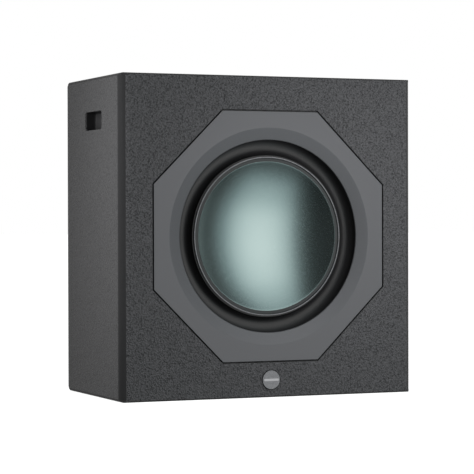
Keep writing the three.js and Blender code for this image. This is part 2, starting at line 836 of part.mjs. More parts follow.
function phonoJack() {
  const { radius, flange, flangeThickness, reach, back, bore } = JACK;
  const outline = [
    [0, underPlate - back],
    [radius, underPlate - back],
    [radius, onPlate],
    [flange, onPlate],
    [flange, onPlate + flangeThickness],
    [radius, onPlate + flangeThickness],
    [radius, onPlate + reach],
    [bore, onPlate + reach],
    [bore, onPlate],
    [0, onPlate],
  ];
  return revolve(outline, 12);
}

function statusLed() {
  const { radius, flange, proud } = LED;
  const outline = [
    [0, underPlate - 4],
    [flange, underPlate - 4],
    [flange, underPlate],
    [radius, underPlate],
    [radius, plateOutside + proud - 1.8],
    [radius * 0.7, plateOutside + proud - 0.6],
    [0, plateOutside + proud],
  ];
  return revolve(outline, 10);
}

function rockerBezel() {
  const { width, height, flange, mouthWidth, mouthHeight, body, pocket } = ROCKER;
  const top = onPlate + flange;
  const rim = prismY(roundedRectangle(width, height, 2), [onPlate, top], 1);
  const inner = [width / 2 - 2, height / 2 - 2];
  const can = box([-inner[0], inner[0]], [onPlate - body, onPlate + 1], [-inner[1], inner[1]]);
  const [x, z] = [mouthWidth / 2, mouthHeight / 2];
  return cut(join([rim, can]), [box([-x, x], [top - pocket, top + 1], [-z, z])]);
}

// Drawn about its own pivot, with two flat press faces that meet in a shallow valley.
function rocker() {
  const profile = polygon([
    [-5, -8],
    [2, -11.5],
    [6, -11.5],
    [4.2, 0],
    [6, 11.5],
    [2, 11.5],
    [-5, 8],
  ]);
  const half = ROCKER.mouthWidth / 2 - 0.4;
  return prismX(profile, [-half, half]);
}

function mainsInlet() {
  const { width, height, flange, bodyWidth, bodyHeight, bodyBack } = INLET;
  const { socketWidth, socketHeight, socketZ, socketDepth, pinLength } = INLET;
  const { slotWidth, slotHeight, slotZ, slotDepth } = INLET;
  const top = onPlate + flange;
  const rim = prismY(roundedRectangle(width, height, 4), [onPlate, top], 1);
  const can = box(
    [-bodyWidth / 2, bodyWidth / 2],
    [bodyBack, onPlate + 1],
    [-bodyHeight / 2, bodyHeight / 2],
  );
  const mouth = prismY(roundedRectangle(socketWidth, socketHeight, 3), [top - socketDepth, top + 1], 1);
  const slot = box(
    [-slotWidth / 2, slotWidth / 2],
    [top - slotDepth - 1, top + 1],
    [slotZ - slotHeight / 2, slotZ + slotHeight / 2],
  );
  const housing = cut(join([rim, can]), [mouth.translate(0, 0, socketZ), slot]);
  const pinFoot = top - socketDepth - 1;
  const pins = [-7, 0, 7].map((x) =>
    box(
      [x - 1, x + 1],
      [pinFoot, pinFoot + 1 + pinLength],
      [socketZ + (x ? -4 : 0), socketZ + (x ? 0 : 4)],
    ),
  );
  return join([housing, ...pins]);
}

function fuseDrawer() {
  const { slotWidth, slotHeight, slotZ, slotDepth, flange } = INLET;
  const top = onPlate + flange;
  const tray = box(
    [-slotWidth / 2 + CLEARANCE, slotWidth / 2 - CLEARANCE],
    [top - slotDepth, top + 1],
    [slotZ - slotHeight / 2 + CLEARANCE, slotZ + slotHeight / 2 - CLEARANCE],
  );
  const fuseBed = box([-10.5, 10.5], [top - slotDepth + 3, top - slotDepth + 10], [slotZ - 2, slotZ + 6]);
  const face = box([-14, 14], [top + CLEARANCE, top + 2], [slotZ - 5, slotZ + 5]);
  return cut(join([tray, face]), [fuseBed]);
}

function transformer() {
  const { outer, inner, height } = TRANSFORMER;
  const edge = 6;
  const outline = [
    [inner, edge / 2],
    [inner + edge / 2, 0],
    [outer - edge, 0],
    [outer, edge],
    [outer, height - edge],
    [outer - edge, height],
    [inner + edge / 2, height],
    [inner, height - edge / 2],
  ];
  return revolve(outline, 18).rotateX(Math.PI / 2);
}

function transformerBolt() {
  const { height, washer, bolt } = TRANSFORMER;
  const outline = [
    [0, -8],
    [bolt, -8],
    [bolt, height + CLEARANCE],
    [washer, height + CLEARANCE],
    [washer, height + 1.8],
    [bolt + 3, height + 1.8],
    [bolt + 3, height + 6],
    [0, height + 6],
  ];
  return revolve(outline, 10).rotateX(Math.PI / 2);
}

function buildControls() {
  Object.entries(KNOBS).forEach(([name, x]) => {
    add(amplifier, `${name}_pot`, potentiometer(), FINISH.steel).position.set(x, 0, KNOB.z);
    add(amplifier, `${name}_knob`, knob(), FINISH.blackPlastic).position.set(x, 0, KNOB.z);
  });
  const switchAt = [TOGGLE.x, 0, TOGGLE.z];
  add(amplifier, 'auto_switch_body', toggleBody(), FINISH.steel).position.set(...switchAt);
  add(amplifier, 'auto_switch_lever', toggleLever(), FINISH.blackPlastic).position.set(...switchAt);
  Object.entries(JACKS).forEach(([name, x]) => {
    add(amplifier, name, phonoJack(), FINISH.steel).position.set(x, 0, JACK.z);
  });
  add(amplifier, 'status_led', statusLed(), FINISH.signalLens).position.set(LED.x, 0, LED.z);
  const bezel = add(amplifier, 'rocker_bezel', rockerBezel(), FINISH.blackPlastic);
  bezel.position.set(ROCKER.x, 0, ROCKER.z);
  const powerRocker = add(amplifier, 'power_rocker', rocker(), FINISH.blackPlastic);
  powerRocker.position.set(ROCKER.x, ROCKER.pivot, ROCKER.z);
  powerRocker.rotation.x = THREE.MathUtils.degToRad(-ROCKER.tilt);
  add(amplifier, 'mains_inlet', mainsInlet(), FINISH.blackPlastic).position.set(INLET.x, 0, INLET.z);
  add(amplifier, 'fuse_drawer', fuseDrawer(), FINISH.blackPlastic).position.set(INLET.x, 0, INLET.z);
}

function buildElectronics() {
  const { width, bottomZ, topZ, thickness, back, rail } = BOARD;
  const half = width / 2;
  const boardFace = back - thickness;
  add(amplifier, 'circuit_board', box([-half, half], [boardFace, back], [bottomZ, topZ]), FINISH.boardGreen);
  [-1, 1].forEach((side) => {
    const near = side * (half - rail);
    const far = side * half;
    const xs = [Math.min(near, far), Math.max(near, far)];
    const strip = box(xs, [back + CLEARANCE, underPlate], [bottomZ, topZ]);
    add(amplifier, side < 0 ? 'board_rail_left' : 'board_rail_right', strip, FINISH.steel);
  });
  [-1, 1].forEach((side) => {
    const { radius, length, z, spacing } = CAPACITOR;
    const end = boardFace - CLEARANCE;
    const can = rod(radius, [end - length, end], (side * spacing) / 2, z, 14);
    add(amplifier, side < 0 ? 'capacitor_left' : 'capacitor_right', can, FINISH.blackPlastic);
  });
  const feet = [TRANSFORMER.x, TRANSFORMER.y, CABINET.wall + CLEARANCE];
  add(cabinet, 'transformer', transformer(), FINISH.copper).position.set(...feet);
  add(cabinet, 'transformer_bolt', transformerBolt(), FINISH.steel).position.set(...feet);
}

// The lead between the driver's terminals and the board, held at both ends.
function speakerWire() {
  const route = [
    [0, 102.4, 169],
    [0, 125, 167],
    [0, 150, 171],
    [0, 172, 184],
    [0, 190, 202],
    [0, 215, 218],
    [0, 245, 225],
    [0, CABINET.depth + BOARD.back - BOARD.thickness - CLEARANCE, 225],
  ];
  return tube(route, LEAD.wireRadius, 8, 16);
}

function buildAmplifier() {
  add(amplifier, 'amp_gasket', ampGasket(), FINISH.foam);
  add(amplifier, 'amp_plate', ampPlate(), FINISH.platePaint);
  add(amplifier, 'heat_sink', heatSink(), FINISH.castMetal);
  buildControls();
  buildElectronics();
  add(cabinet, 'speaker_wire', speakerWire(), FINISH.rubber);
}

buildCabinet();
add(cabinet, 'badge', badge(), FINISH.spunMetal);
buildDriver();
buildAmplifier();

export default subwoofer;
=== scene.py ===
"""Active subwoofer: detailed pieces, finishes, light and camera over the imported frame.

Lengths in this file are millimetres unless a name says otherwise; MM turns them into Blender's metres.
"""

import math

import bmesh
import bpy
import numpy as np
from mathutils import Matrix, Vector, noise


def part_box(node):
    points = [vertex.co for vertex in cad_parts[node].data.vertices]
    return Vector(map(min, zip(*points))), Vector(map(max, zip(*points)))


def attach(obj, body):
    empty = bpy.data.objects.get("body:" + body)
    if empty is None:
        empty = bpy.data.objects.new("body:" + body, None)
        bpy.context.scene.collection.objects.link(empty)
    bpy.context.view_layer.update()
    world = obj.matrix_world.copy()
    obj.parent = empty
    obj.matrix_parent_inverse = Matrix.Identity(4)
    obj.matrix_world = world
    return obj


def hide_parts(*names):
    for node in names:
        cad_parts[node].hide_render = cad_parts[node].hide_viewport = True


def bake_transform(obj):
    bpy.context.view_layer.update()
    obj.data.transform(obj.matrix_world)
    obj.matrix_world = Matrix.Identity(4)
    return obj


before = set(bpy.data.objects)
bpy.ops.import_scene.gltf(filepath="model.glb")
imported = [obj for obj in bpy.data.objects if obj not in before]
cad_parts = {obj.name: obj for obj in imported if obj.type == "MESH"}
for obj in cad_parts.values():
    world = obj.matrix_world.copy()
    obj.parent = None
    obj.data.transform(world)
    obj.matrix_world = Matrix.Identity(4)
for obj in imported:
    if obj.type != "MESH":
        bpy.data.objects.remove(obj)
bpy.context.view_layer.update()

MM = 0.001
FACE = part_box("front_baffle")[0].y / MM
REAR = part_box("back_panel")[1].y / MM

# ---- Dimensions ----

WIDTH, HEIGHT, DEPTH = 555, 560, REAR - FACE
WALL, BAFFLE = 18, 32
UPRIGHT_EDGE, REAR_EDGE, FRONT_EDGE, SIDE_EDGE = 18, 16, 3, 6

CLEARANCE = 0.3

HANDLE_LENGTH, HANDLE_HEIGHT, HANDLE_CORNER = 87, 32, 6
HANDLE_POCKET, HANDLE_SKIN, HANDLE_FLOOR, HANDLE_FILLET = 20, 2, 2.5, 5
HANDLE_LIP, HANDLE_ARRIS = 3, 1.2
HANDLE_Y, HANDLE_Z = FACE + 140.5, 484

# Cosines that sort a board's or a cup's faces by how far they turn from a direction.
EDGE_TURN, WALL_TURN, WRAP_TURN = (math.cos(math.radians(angle)) for angle in (8, 35, 27))

DRIVER_Z = 281
TRIM_FLATS, TRIM_THICKNESS, TRIM_GROOVE, TRIM_ARRIS = 435.4, 8, 2.2, 1.0
TRIM_DISH, TRIM_OPENING, TRIM_DISH_DEPTH = 187.5, 168, 6
FLANGE_RADIUS, FLANGE_SEAT, SHELL_RADIUS = 198, 15.9, 184.5

DISH_RADIUS, DISH_DEPTH, DISH_SKIN = 130, 35.8, 1.5
BAND_FLOOR, RING_INNER, RING_OUTER, RIM_FRONT, RIM_BACK = 13.8, 136.9, 139.2, 12, 15
ROLL_INNER, ROLL_OUTER, ROLL_DEPTH, RUBBER = 141, 176.4, 18, 1.5
LIP_INNER, LIP_OUTER, LIP_FRONT, LIP_BACK = 134.5, 183, 8.3, 15.3

SPIDER_NECK, SPIDER_FOOT, SPIDER_OUTER, SPIDER_Y = 38.5, 83, 92, 73.4
SPIDER_WAVE, SPIDER_CLOTH, SPIDER_ROLLS, SPIDER_SEAT = 2.2, 0.9, 4, 75.8

BADGE_RADIUS, BADGE_Z, BADGE_PROUD, BADGE_SEAT, BADGE_BAR = 17, 30.5, 1.5, 2.3, 5

AMP_Z, AMP_WIDTH, AMP_HEIGHT, AMP_CORNER, AMP_OVERLAP = 270, 260, 330, 8, 12
PLATE_FRONT, PLATE_BACK = REAR + 1.8, REAR + 4.8
ON_PLATE = PLATE_BACK + 0.3
SCREW_INSET = 6

SINK_WIDTH, SINK_LOW, SINK_HIGH = 180, AMP_Z + 30, AMP_Z + 150
SINK_BASE, SINK_DEPTH, FINS, FIN = 5, 26, 12, 2.4

KNOB_X = {"level": -60, "crossover": 0, "phase": 60}
KNOB_Z, KNOB_RADIUS, KNOB_HEIGHT, KNOB_LIFT = AMP_Z + 5, 12, 14, 0.6
KNOB_SWEEP = math.radians(150)
KNOB_FLUTES, FLUTE_DEPTH, POINTER_WIDTH, POINTER_LENGTH = 24, 0.45, 1.2, 7.5
DIAL_INNER, DIAL_SHORT, DIAL_LONG, DIAL_NUMBERS, DIAL_TYPE = 14, 16.2, 17.2, 20.5, 4.0
DIAL_WORDS = {"level": ("0", "5", "10"), "crossover": ("40", "80", "120"), "phase": ("0", "90", "180")}

JACK_X = {"line_input_left": 20, "line_input_right": 50}
JACK_Z, JACK_RADIUS, JACK_NUT, JACK_REACH = AMP_Z - 45, 4.1, 6, 10
LED_X, LED_Z, LED_RADIUS = -20, AMP_Z - 45, 2.5
SHAFT_HOLE, JACK_HOLE, LED_HOLE = 3.4, 4.4, 2.8
TOGGLE_X, TOGGLE_Z, TOGGLE_LEVER, TOGGLE_TRAVEL, TOGGLE_PROUD = -60, AMP_Z - 45, 6, 3, 4
ROCKER_X, ROCKER_Z, ROCKER_WIDTH, ROCKER_HEIGHT = -55, AMP_Z - 115, 24, 32
ROCKER_MOUTH, ROCKER_TALL, ROCKER_PIVOT, ROCKER_TILT = 18, 26, REAR + 3, math.radians(-8)
ROCKER_FLANGE, ROCKER_CAN, ROCKER_MARK = 1.5, 18, 6
INLET_X, INLET_Z, INLET_WIDTH, INLET_HEIGHT, INLET_FLANGE = 45, AMP_Z - 115, 52, 46, 2.5
INLET_CAN_WIDTH, INLET_CAN_HEIGHT, INLET_CAN = 47, 41, 20
SOCKET_WIDTH, SOCKET_HEIGHT, SOCKET_Z, SOCKET_DEPTH, SOCKET_CUT = 24.5, 16.5, 9, 20, 5
PINS, PIN_REACH = ((-7, -4, 0), (0, 0, 4), (7, -4, 0)), 13
SLOT_WIDTH, SLOT_HEIGHT, SLOT_Z, SLOT_DEPTH = 26, 8, -12, 21


# ---- Mesh helpers ----


def link(name, data):
    obj = bpy.data.objects.new(name, data)
    bpy.context.scene.collection.objects.link(obj)
    return obj


def from_bmesh(name, bm):
    bmesh.ops.recalc_face_normals(bm, faces=bm.faces)
    mesh = bpy.data.meshes.new(name)
    bm.to_mesh(mesh)
    bm.free()
    return link(name, mesh)


def at(obj, x, y, z):
    obj.location = (x * MM, y * MM, z * MM)
    return obj


def bridge(bm, rings, closed=False):
    """Faces between neighbouring rings of vertices; a ring of one vertex is a pole."""
    follow = rings[1:] + (rings[:1] if closed else [])
    for ring, after in zip(rings, follow):
        count = max(len(ring), len(after))
        for i in range(count):
            j = (i + 1) % count
            corners = [ring[i % len(ring)], ring[j % len(ring)], after[j % len(after)], after[i % len(after)]]
            unique = list(dict.fromkeys(corners))
            if len(unique) > 2:
                bm.faces.new(unique)


def lathe(name, outline, segments, x=0.0, y=0.0, z=0.0):
    """Turns a closed outline of (radius, depth) about a line along Y; depth grows towards +Y from y."""
    bm = bmesh.new()
    turn = [2 * math.pi * i / segments for i in range(segments)]
    rings = []
    for radius, depth in outline:
        angles = turn if radius > 1e-6 else turn[:1]
        points = [(radius * math.cos(a), depth, radius * math.sin(a)) for a in angles]
        rings.append([bm.verts.new(Vector(p) * MM) for p in points])
    bridge(bm, rings, closed=True)
    return at(from_bmesh(name, bm), x, y, z)


def rod(name, radius, low, high, segments, x=0.0, y=0.0, z=0.0):
    """A plain round tool for cutting."""
    return lathe(name, [(0, low), (radius, low), (radius, high), (0, high)], segments, x, y, z)


AXIS_ORDER = {"X": lambda u, v, w: (w, u, v), "Y": lambda u, v, w: (u, w, v), "Z": lambda u, v, w: (u, v, w)}


def loft(name, sections, axis):
    """A closed skin over (outline, level) sections stacked along an axis; outlines have equal counts."""
    bm = bmesh.new()
    order = AXIS_ORDER[axis]
    rings = []
    for outline, level in sections:
        rings.append([bm.verts.new(Vector(order(u, v, level)) * MM) for u, v in outline])
    bridge(bm, rings)
    bm.faces.new(rings[0])
    bm.faces.new(rings[-1])
    return from_bmesh(name, bm)


def slab(name, outline, low, high, axis="Y"):
    """One outline drawn out between two levels."""
    return loft(name, [(outline, low), (outline, high)], axis)


def block(name, low, high):
    (x0, y0, z0), (x1, y1, z1) = low, high
    return slab(name, [(x0, y0), (x1, y0), (x1, y1), (x0, y1)], z0, z1, "Z")


def rounded(width, height, corner, steps=8, x=0.0, z=0.0):
    """A rectangle with round corners, as points, its middle at (x, z)."""
    points = []
    for i, (sx, sz) in enumerate([(1, 1), (-1, 1), (-1, -1), (1, -1)]):
        u, v = x + sx * (width / 2 - corner), z + sz * (height / 2 - corner)
        for k in range(steps + 1):
            angle = math.pi / 2 * (i + k / steps)
            points.append((u + corner * math.cos(angle), v + corner * math.sin(angle)))
    return points


def chamfered(name, width, height, corner, chamfer, low, high, steps, x, z):
    """A rounded rectangle from low to high along Y, with its high edge chamfered."""
    full = rounded(width, height, corner, steps, x, z)
    small = rounded(width - 2 * chamfer, height - 2 * chamfer, corner - chamfer, steps, x, z)
    return loft(name, [(full, low), (full, high - chamfer), (small, high)], "Y")


def polygon(sides, reach, turn=0.0):
    """The corners of a regular polygon."""
    angles = [turn + 2 * math.pi * i / sides for i in range(sides)]
    return [(reach * math.cos(a), reach * math.sin(a)) for a in angles]


def octagon(flats):
    """A regular octagon by its width across flats."""
    return polygon(8, flats / 2 / math.cos(math.pi / 8), math.pi / 8)


def evaluated_mesh(obj):
    graph = bpy.context.evaluated_depsgraph_get()
    return bpy.data.meshes.new_from_object(obj.evaluated_get(graph), depsgraph=graph)


def modify(obj, kind, **settings):
    """Runs a mesh through one modifier."""
    modifier = obj.modifiers.new("modifier", kind)
    for key, value in settings.items():
        setattr(modifier, key, value)
    mesh = evaluated_mesh(obj)
    obj.modifiers.clear()
    obj.data = mesh
    return obj


def curve_mesh(curve):
    """A curve or a text as a mesh."""
    holder = link(curve.name, curve)
    mesh = evaluated_mesh(holder)
    bpy.data.objects.remove(holder)
    return mesh


def combine(obj, tool, operation):
    modify(obj, "BOOLEAN", operation=operation, solver="MANIFOLD", object=tool)
    bpy.data.objects.remove(tool)
    return obj


def cut(obj, *tools):
    for tool in tools:
        combine(obj, tool, "DIFFERENCE")
    return obj


def ease(obj, width, segments=3, angle=40):
    """Rounds the edges that turn by more than an angle."""
    return modify(obj, "BEVEL", width=width * MM, segments=segments, limit_method="ANGLE",
                  angle_limit=math.radians(angle), use_clamp_overlap=True)


def smooth(obj, angle=32):
    """Smooth shading that keeps flat faces flat and sharp corners sharp."""
    obj.data.shade_smooth()
    obj.data.set_sharp_from_angle(angle=math.radians(angle))
    return modify(obj, "WEIGHTED_NORMAL", keep_sharp=True)


def arc(centre, radius, start, end, steps):
    """Points on an arc, angles in degrees."""
    angles = [math.radians(start + (end - start) * i / steps) for i in range(steps + 1)]
    return [(centre[0] + radius * math.cos(a), centre[1] + radius * math.sin(a)) for a in angles]


# ---- Finishes ----

GRAIN_LOW, GRAIN_HIGH = 0.3, 0.7


def linear(level):
    """An 8-bit display value as a linear one."""
    value = level / 255
    return value / 12.92 if value <= 0.04045 else ((value + 0.055) / 1.055) ** 2.4


def rgb(red, green=None, blue=None):
    levels = (red, red if green is None else green, red if blue is None else blue)
    return tuple(linear(level) for level in levels) + (1.0,)


def add_node(tree, kind, **settings):
    node = tree.nodes.new(f"ShaderNode{kind}")
    for key, value in settings.items():
        setattr(node, key, value)
    return node


def supply(tree, socket, source):
    """Links an output to a socket, or sets the socket to a plain value."""
    if isinstance(source, bpy.types.NodeSocket):
        tree.links.new(source, socket)
    else:
        socket.default_value = source


def feed(tree, node, **sources):
    """Supplies a node's inputs; the sources are named as its sockets are."""
    for key, source in sources.items():
        supply(tree, node.inputs[key.replace("_", " ")], source)
    return node


def math_node(tree, operation, *operands, clamp=False):
    node = add_node(tree, "Math", operation=operation, use_clamp=clamp)
    for socket, operand in zip(node.inputs, operands):
        supply(tree, socket, operand)
    return node.outputs[0]


def colour_ramp(tree, value, stops, interpolation="LINEAR"):
    """A ramp through (position, colour) stops."""
    node = add_node(tree, "ValToRGB")
    node.color_ramp.interpolation = interpolation
    elements = node.color_ramp.elements
    while len(elements) < len(stops):
        elements.new(0.5)
    for element, (position, colour) in zip(elements, stops):
        element.position = position
        element.color = colour
    return feed(tree, node, Fac=value).outputs["Color"]


def map_range(tree, value, **limits):
    """A linear change of range; the limits are named as the node's sockets are."""
    return feed(tree, add_node(tree, "MapRange"), Value=value, **limits).outputs["Result"]


def noise_pattern(tree, vector, detail=3.0):
    node = add_node(tree, "TexNoise")
    return feed(tree, node, Vector=vector, Scale=1.0, Detail=detail, Roughness=0.55).outputs["Fac"]


def pebble_pattern(tree, vector):
    """Rounded grains that crowd together, like a rolled textured paint."""
    cells = add_node(tree, "TexVoronoi", feature="SMOOTH_F1")
    feed(tree, cells, Vector=vector, Scale=1.0, Smoothness=0.35)
    lumps = noise_pattern(tree, vector, 2.0)
    hollows = math_node(tree, "MULTIPLY", cells.outputs["Distance"], 0.6)
    grains = math_node(tree, "SUBTRACT", lumps, hollows)
    return math_node(tree, "ADD", grains, 0.35, clamp=True)


def weave_pattern(tree, vector):
    """Two sets of threads at right angles across the X-Z plane."""
    waves = []
    for direction in ("X", "Z"):
        wave = add_node(tree, "TexWave", bands_direction=direction)
        waves.append(feed(tree, wave, Vector=vector, Scale=1.0, Distortion=0.6).outputs["Fac"])
    return math_node(tree, "MULTIPLY", *waves)


PATTERNS = {"noise": noise_pattern, "pebble": pebble_pattern, "weave": weave_pattern}
FINISHES = {}


def finish(name, colour, roughness, metallic=0.0, pattern="noise", size=1.0, shade=0.12, gloss=0.05,
           depth=0.0, stretch=(1, 1, 1), **sockets):
    """Adds a finish: its colour varies by +-shade, its roughness by +-gloss, over grains of a size."""
    material = bpy.data.materials.new(name)
    material.use_nodes = True
    tree = material.node_tree
    place = add_node(tree, "TexCoord").outputs["Object"]
    scale = tuple(s / (size * MM) for s in stretch)
    mapping = feed(tree, add_node(tree, "Mapping"), Vector=place, Scale=scale)
    grain = PATTERNS[pattern](tree, mapping.outputs["Vector"])
    dark = tuple(c * (1 - shade) for c in colour[:3]) + (1.0,)
    pale = tuple(min(1.0, c * (1 + shade)) for c in colour[:3]) + (1.0,)
    tone = colour_ramp(tree, grain, [(GRAIN_LOW, dark), (GRAIN_HIGH, pale)])
    rough = map_range(tree, grain, From_Min=GRAIN_LOW, From_Max=GRAIN_HIGH,
                      To_Min=roughness + gloss, To_Max=roughness - gloss)
    shader = tree.nodes["Principled BSDF"]
    feed(tree, shader, Base_Color=tone, Roughness=rough, Metallic=metallic, **sockets)
    if depth:
        bump = feed(tree, add_node(tree, "Bump"), Strength=1.0, Distance=depth * MM, Height=grain)
        feed(tree, shader, Normal=bump.outputs["Normal"])
    FINISHES[name] = material
    return material


finish("textured_paint", rgb(77, 77, 79), 0.5, pattern="pebble", size=2.9, shade=0.42, gloss=0.1, depth=2.0)
finish("satin_paint", rgb(74, 74, 75), 0.44, pattern="pebble", size=2.4, shade=0.28, depth=0.9)
finish("cup_paint", rgb(66, 66, 67), 0.5, size=0.9, shade=0.08, gloss=0.04, depth=0.03)
finish("fibreboard", rgb(150, 122, 88), 0.85, size=1.6, shade=0.22, depth=0.1)
finish("black_plastic", rgb(30, 30, 31), 0.36, size=0.6, shade=0.15, depth=0.02)
finish("wadding", rgb(214, 211, 202), 0.95, size=2.5, shade=0.18, depth=0.8, stretch=(1, 2.4, 1))
finish("trim", rgb(103, 104, 107), 0.36, 0.5, size=0.5, shade=0.05, gloss=0.03, depth=0.012)
finish("teal_metal", rgb(173, 198, 196), 0.26, 1.0, size=0.7, shade=0.03, gloss=0.02, depth=0.004,
       Coat_Weight=1.0, Coat_Roughness=0.2, Coat_IOR=2.0)
finish("spun_metal", rgb(132, 133, 136), 0.36, 0.8, size=1.6, shade=0.4, gloss=0.06, depth=0.05,
       stretch=(1, 1, 2.5))
finish("rubber", rgb(32, 32, 33), 0.4, size=0.8, shade=0.15, depth=0.02, Specular_IOR_Level=0.7)
finish("foam", rgb(30, 30, 31), 0.95, size=0.8, shade=0.4, depth=0.4)
finish("cast_metal", rgb(58, 58, 59), 0.42, 0.5, size=1.2, shade=0.15, depth=0.08)
finish("former", rgb(186, 158, 108), 0.75, size=2.0, shade=0.15, stretch=(1, 6, 1))
finish("copper", rgb(196, 116, 72), 0.35, 1.0, size=0.5, shade=0.2, depth=0.05, stretch=(0.1, 1, 0.1))
finish("spider_cloth", rgb(196, 154, 78), 0.85, pattern="weave", size=2.2, shade=0.3, depth=0.15)
finish("steel", rgb(176, 177, 180), 0.32, 1.0, size=0.8, shade=0.08, gloss=0.06, depth=0.01)
finish("ferrite", rgb(44, 44, 46), 0.75, size=0.7, shade=0.25, depth=0.05)
finish("bolt_steel", rgb(44, 44, 46), 0.38, 0.9, size=0.4, shade=0.1, depth=0.01)
finish("amp_paint", rgb(46, 46, 47), 0.5, 0.1, size=0.7, depth=0.06)
finish("board_green", rgb(30, 92, 52), 0.4, size=6.0, shade=0.2)
finish("lens", rgb(70, 150, 84), 0.12, shade=0.1, Transmission_Weight=0.5)

# These four have no slot in the record.
# A darker finish that paints shade onto the box's eased edges.
finish("painted_edge_shade", rgb(52, 52, 53), 0.5, size=0.9, shade=0.08, depth=0.03)
finish("glue_band", rgb(50, 53, 54), 0.45, size=0.8, shade=0.08, depth=0.01)
finish("print_white", rgb(214, 214, 212), 0.5, size=0.5, shade=0.04)
finish("red_plastic", rgb(168, 30, 28), 0.4, size=0.5, shade=0.06)


def paint(obj, slot_name, body="cabinet"):
    """Gives a piece its record slot's finish and sets it on its body."""
    obj.data.materials.clear()
    obj.data.materials.append(FINISHES[slot_name])
    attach(obj, body)
    return obj


def detail(obj, name, body="cabinet"):
    """Gives a small piece a finish that the record has no slot for, and sets it on its body."""
    obj.data.materials.append(FINISHES[name])
    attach(obj, body)
    return obj


# ---- Cabinet ----


def cabinet_block():
    """The cabinet's outside, each edge rounded by its own radius."""
    bm = bmesh.new()
    bmesh.ops.create_cube(bm, size=1.0)
    for vert in bm.verts:
        x, y, z = vert.co
        vert.co = Vector((x * WIDTH, FACE + (y + 0.5) * DEPTH, (z + 0.5) * HEIGHT)) * MM
    weight = bm.edges.layers.float.new("bevel_weight_edge")
    middle = (FACE + DEPTH / 2) * MM
    for edge in bm.edges:
        along = edge.verts[1].co - edge.verts[0].co
        front = (edge.verts[0].co.y + edge.verts[1].co.y) / 2 < middle
        if abs(along.z) > MM:
            radius = UPRIGHT_EDGE
        elif abs(along.x) > MM:
            radius = FRONT_EDGE if front else REAR_EDGE
        else:
            radius = SIDE_EDGE
        edge[weight] = radius / UPRIGHT_EDGE
    obj = from_bmesh("cabinet_block", bm)
    return modify(obj, "BEVEL", limit_method="WEIGHT", width=UPRIGHT_EDGE * MM, segments=10,
                  use_clamp_overlap=False)


def handle_outline(margin):
    """The hand pocket's outline on a side, grown by a margin."""
    outline = rounded(HANDLE_LENGTH + 2 * margin, HANDLE_HEIGHT + 2 * margin, HANDLE_CORNER + margin)
    return [(HANDLE_Y + y, HANDLE_Z + z) for y, z in outline]


def handle_hole(side):
    """The pocket's way through a side board: an eased mouth, a lip, then room for the cup."""
    surface = side * WIDTH / 2
    steps = 4
    sections = [(handle_outline(HANDLE_ARRIS), surface + side)]
    for i in range(steps + 1):
        angle = math.pi / 2 * i / steps
        grow = HANDLE_ARRIS * (1 - math.sin(angle))
        sections.append((handle_outline(grow), surface - side * HANDLE_ARRIS * (1 - math.cos(angle))))
    room = handle_outline(HANDLE_SKIN + CLEARANCE)
    sections.append((handle_outline(0), surface - side * HANDLE_LIP))
    sections.append((room, surface - side * (HANDLE_LIP + 0.01)))
    sections.append((room, surface - side * (WALL + 1)))
    return loft("handle_hole", sections, "X")


def handle_cup(side, name):
    """The moulded cup behind the mouth, its floor meeting its walls in a fillet."""
    surface = side * WIDTH / 2
    mouth = surface - side * (HANDLE_LIP + 0.2)
    floor = surface - side * HANDLE_POCKET
    cup = slab(name, handle_outline(HANDLE_SKIN), mouth, floor - side * HANDLE_FLOOR, "X")
    steps = 5
    sections = [(handle_outline(0), mouth + side)]
    for i in range(steps + 1):
        angle = math.pi / 2 * i / steps
        inset = HANDLE_FILLET * (1 - math.cos(angle))
        sections.append((handle_outline(-inset), floor + side * HANDLE_FILLET * (1 - math.sin(angle))))
    cut(cup, loft("pocket", sections, "X"))
    return smooth(cup)


def paint_cup_shade(cup):
    """Paints shade into the pocket: its walls take the dark black_plastic finish as painted shade; only its
    floor keeps the paint.
    """
    cup.data.materials.append(FINISHES["black_plastic"])
    for face in cup.data.polygons:
        # The pocket's walls take the dark finish as painted shade.
        if abs(face.normal.x) < WALL_TURN:
            face.material_index = 1


def baffle_cuts():
    """The octagonal recess for the trim, the driver's seat and hole, and the badge's recess."""
    floor = TRIM_THICKNESS + CLEARANCE
    grooved = TRIM_FLATS + 2 * TRIM_GROOVE
    flare = [(octagon(grooved + 1.4), -0.7), (octagon(grooved), 0.3), (octagon(grooved), floor)]
    recess = loft("recess", flare, "Y")
    seat = rod("seat", FLANGE_RADIUS, -1, FLANGE_SEAT, 96)
    hole = rod("hole", SHELL_RADIUS, -1, BAFFLE + 1, 96)
    cuts = [at(tool, 0, FACE, DRIVER_Z) for tool in (recess, seat, hole)]
    rim = BADGE_RADIUS + 0.5
    outline = [(0, -1), (rim + 0.9, -1), (rim, 0.3), (rim, BADGE_SEAT), (0, BADGE_SEAT)]
    return [*cuts, lathe("badge_seat", outline, 64, y=FACE, z=BADGE_Z)]


def amplifier_hole():
    """A tool for the opening that the amplifier's plate covers."""
    outline = rounded(AMP_WIDTH - 2 * AMP_OVERLAP, AMP_HEIGHT - 2 * AMP_OVERLAP, AMP_CORNER, z=AMP_Z)
    return slab("amplifier_hole", outline, REAR - WALL - 1, REAR + 1)


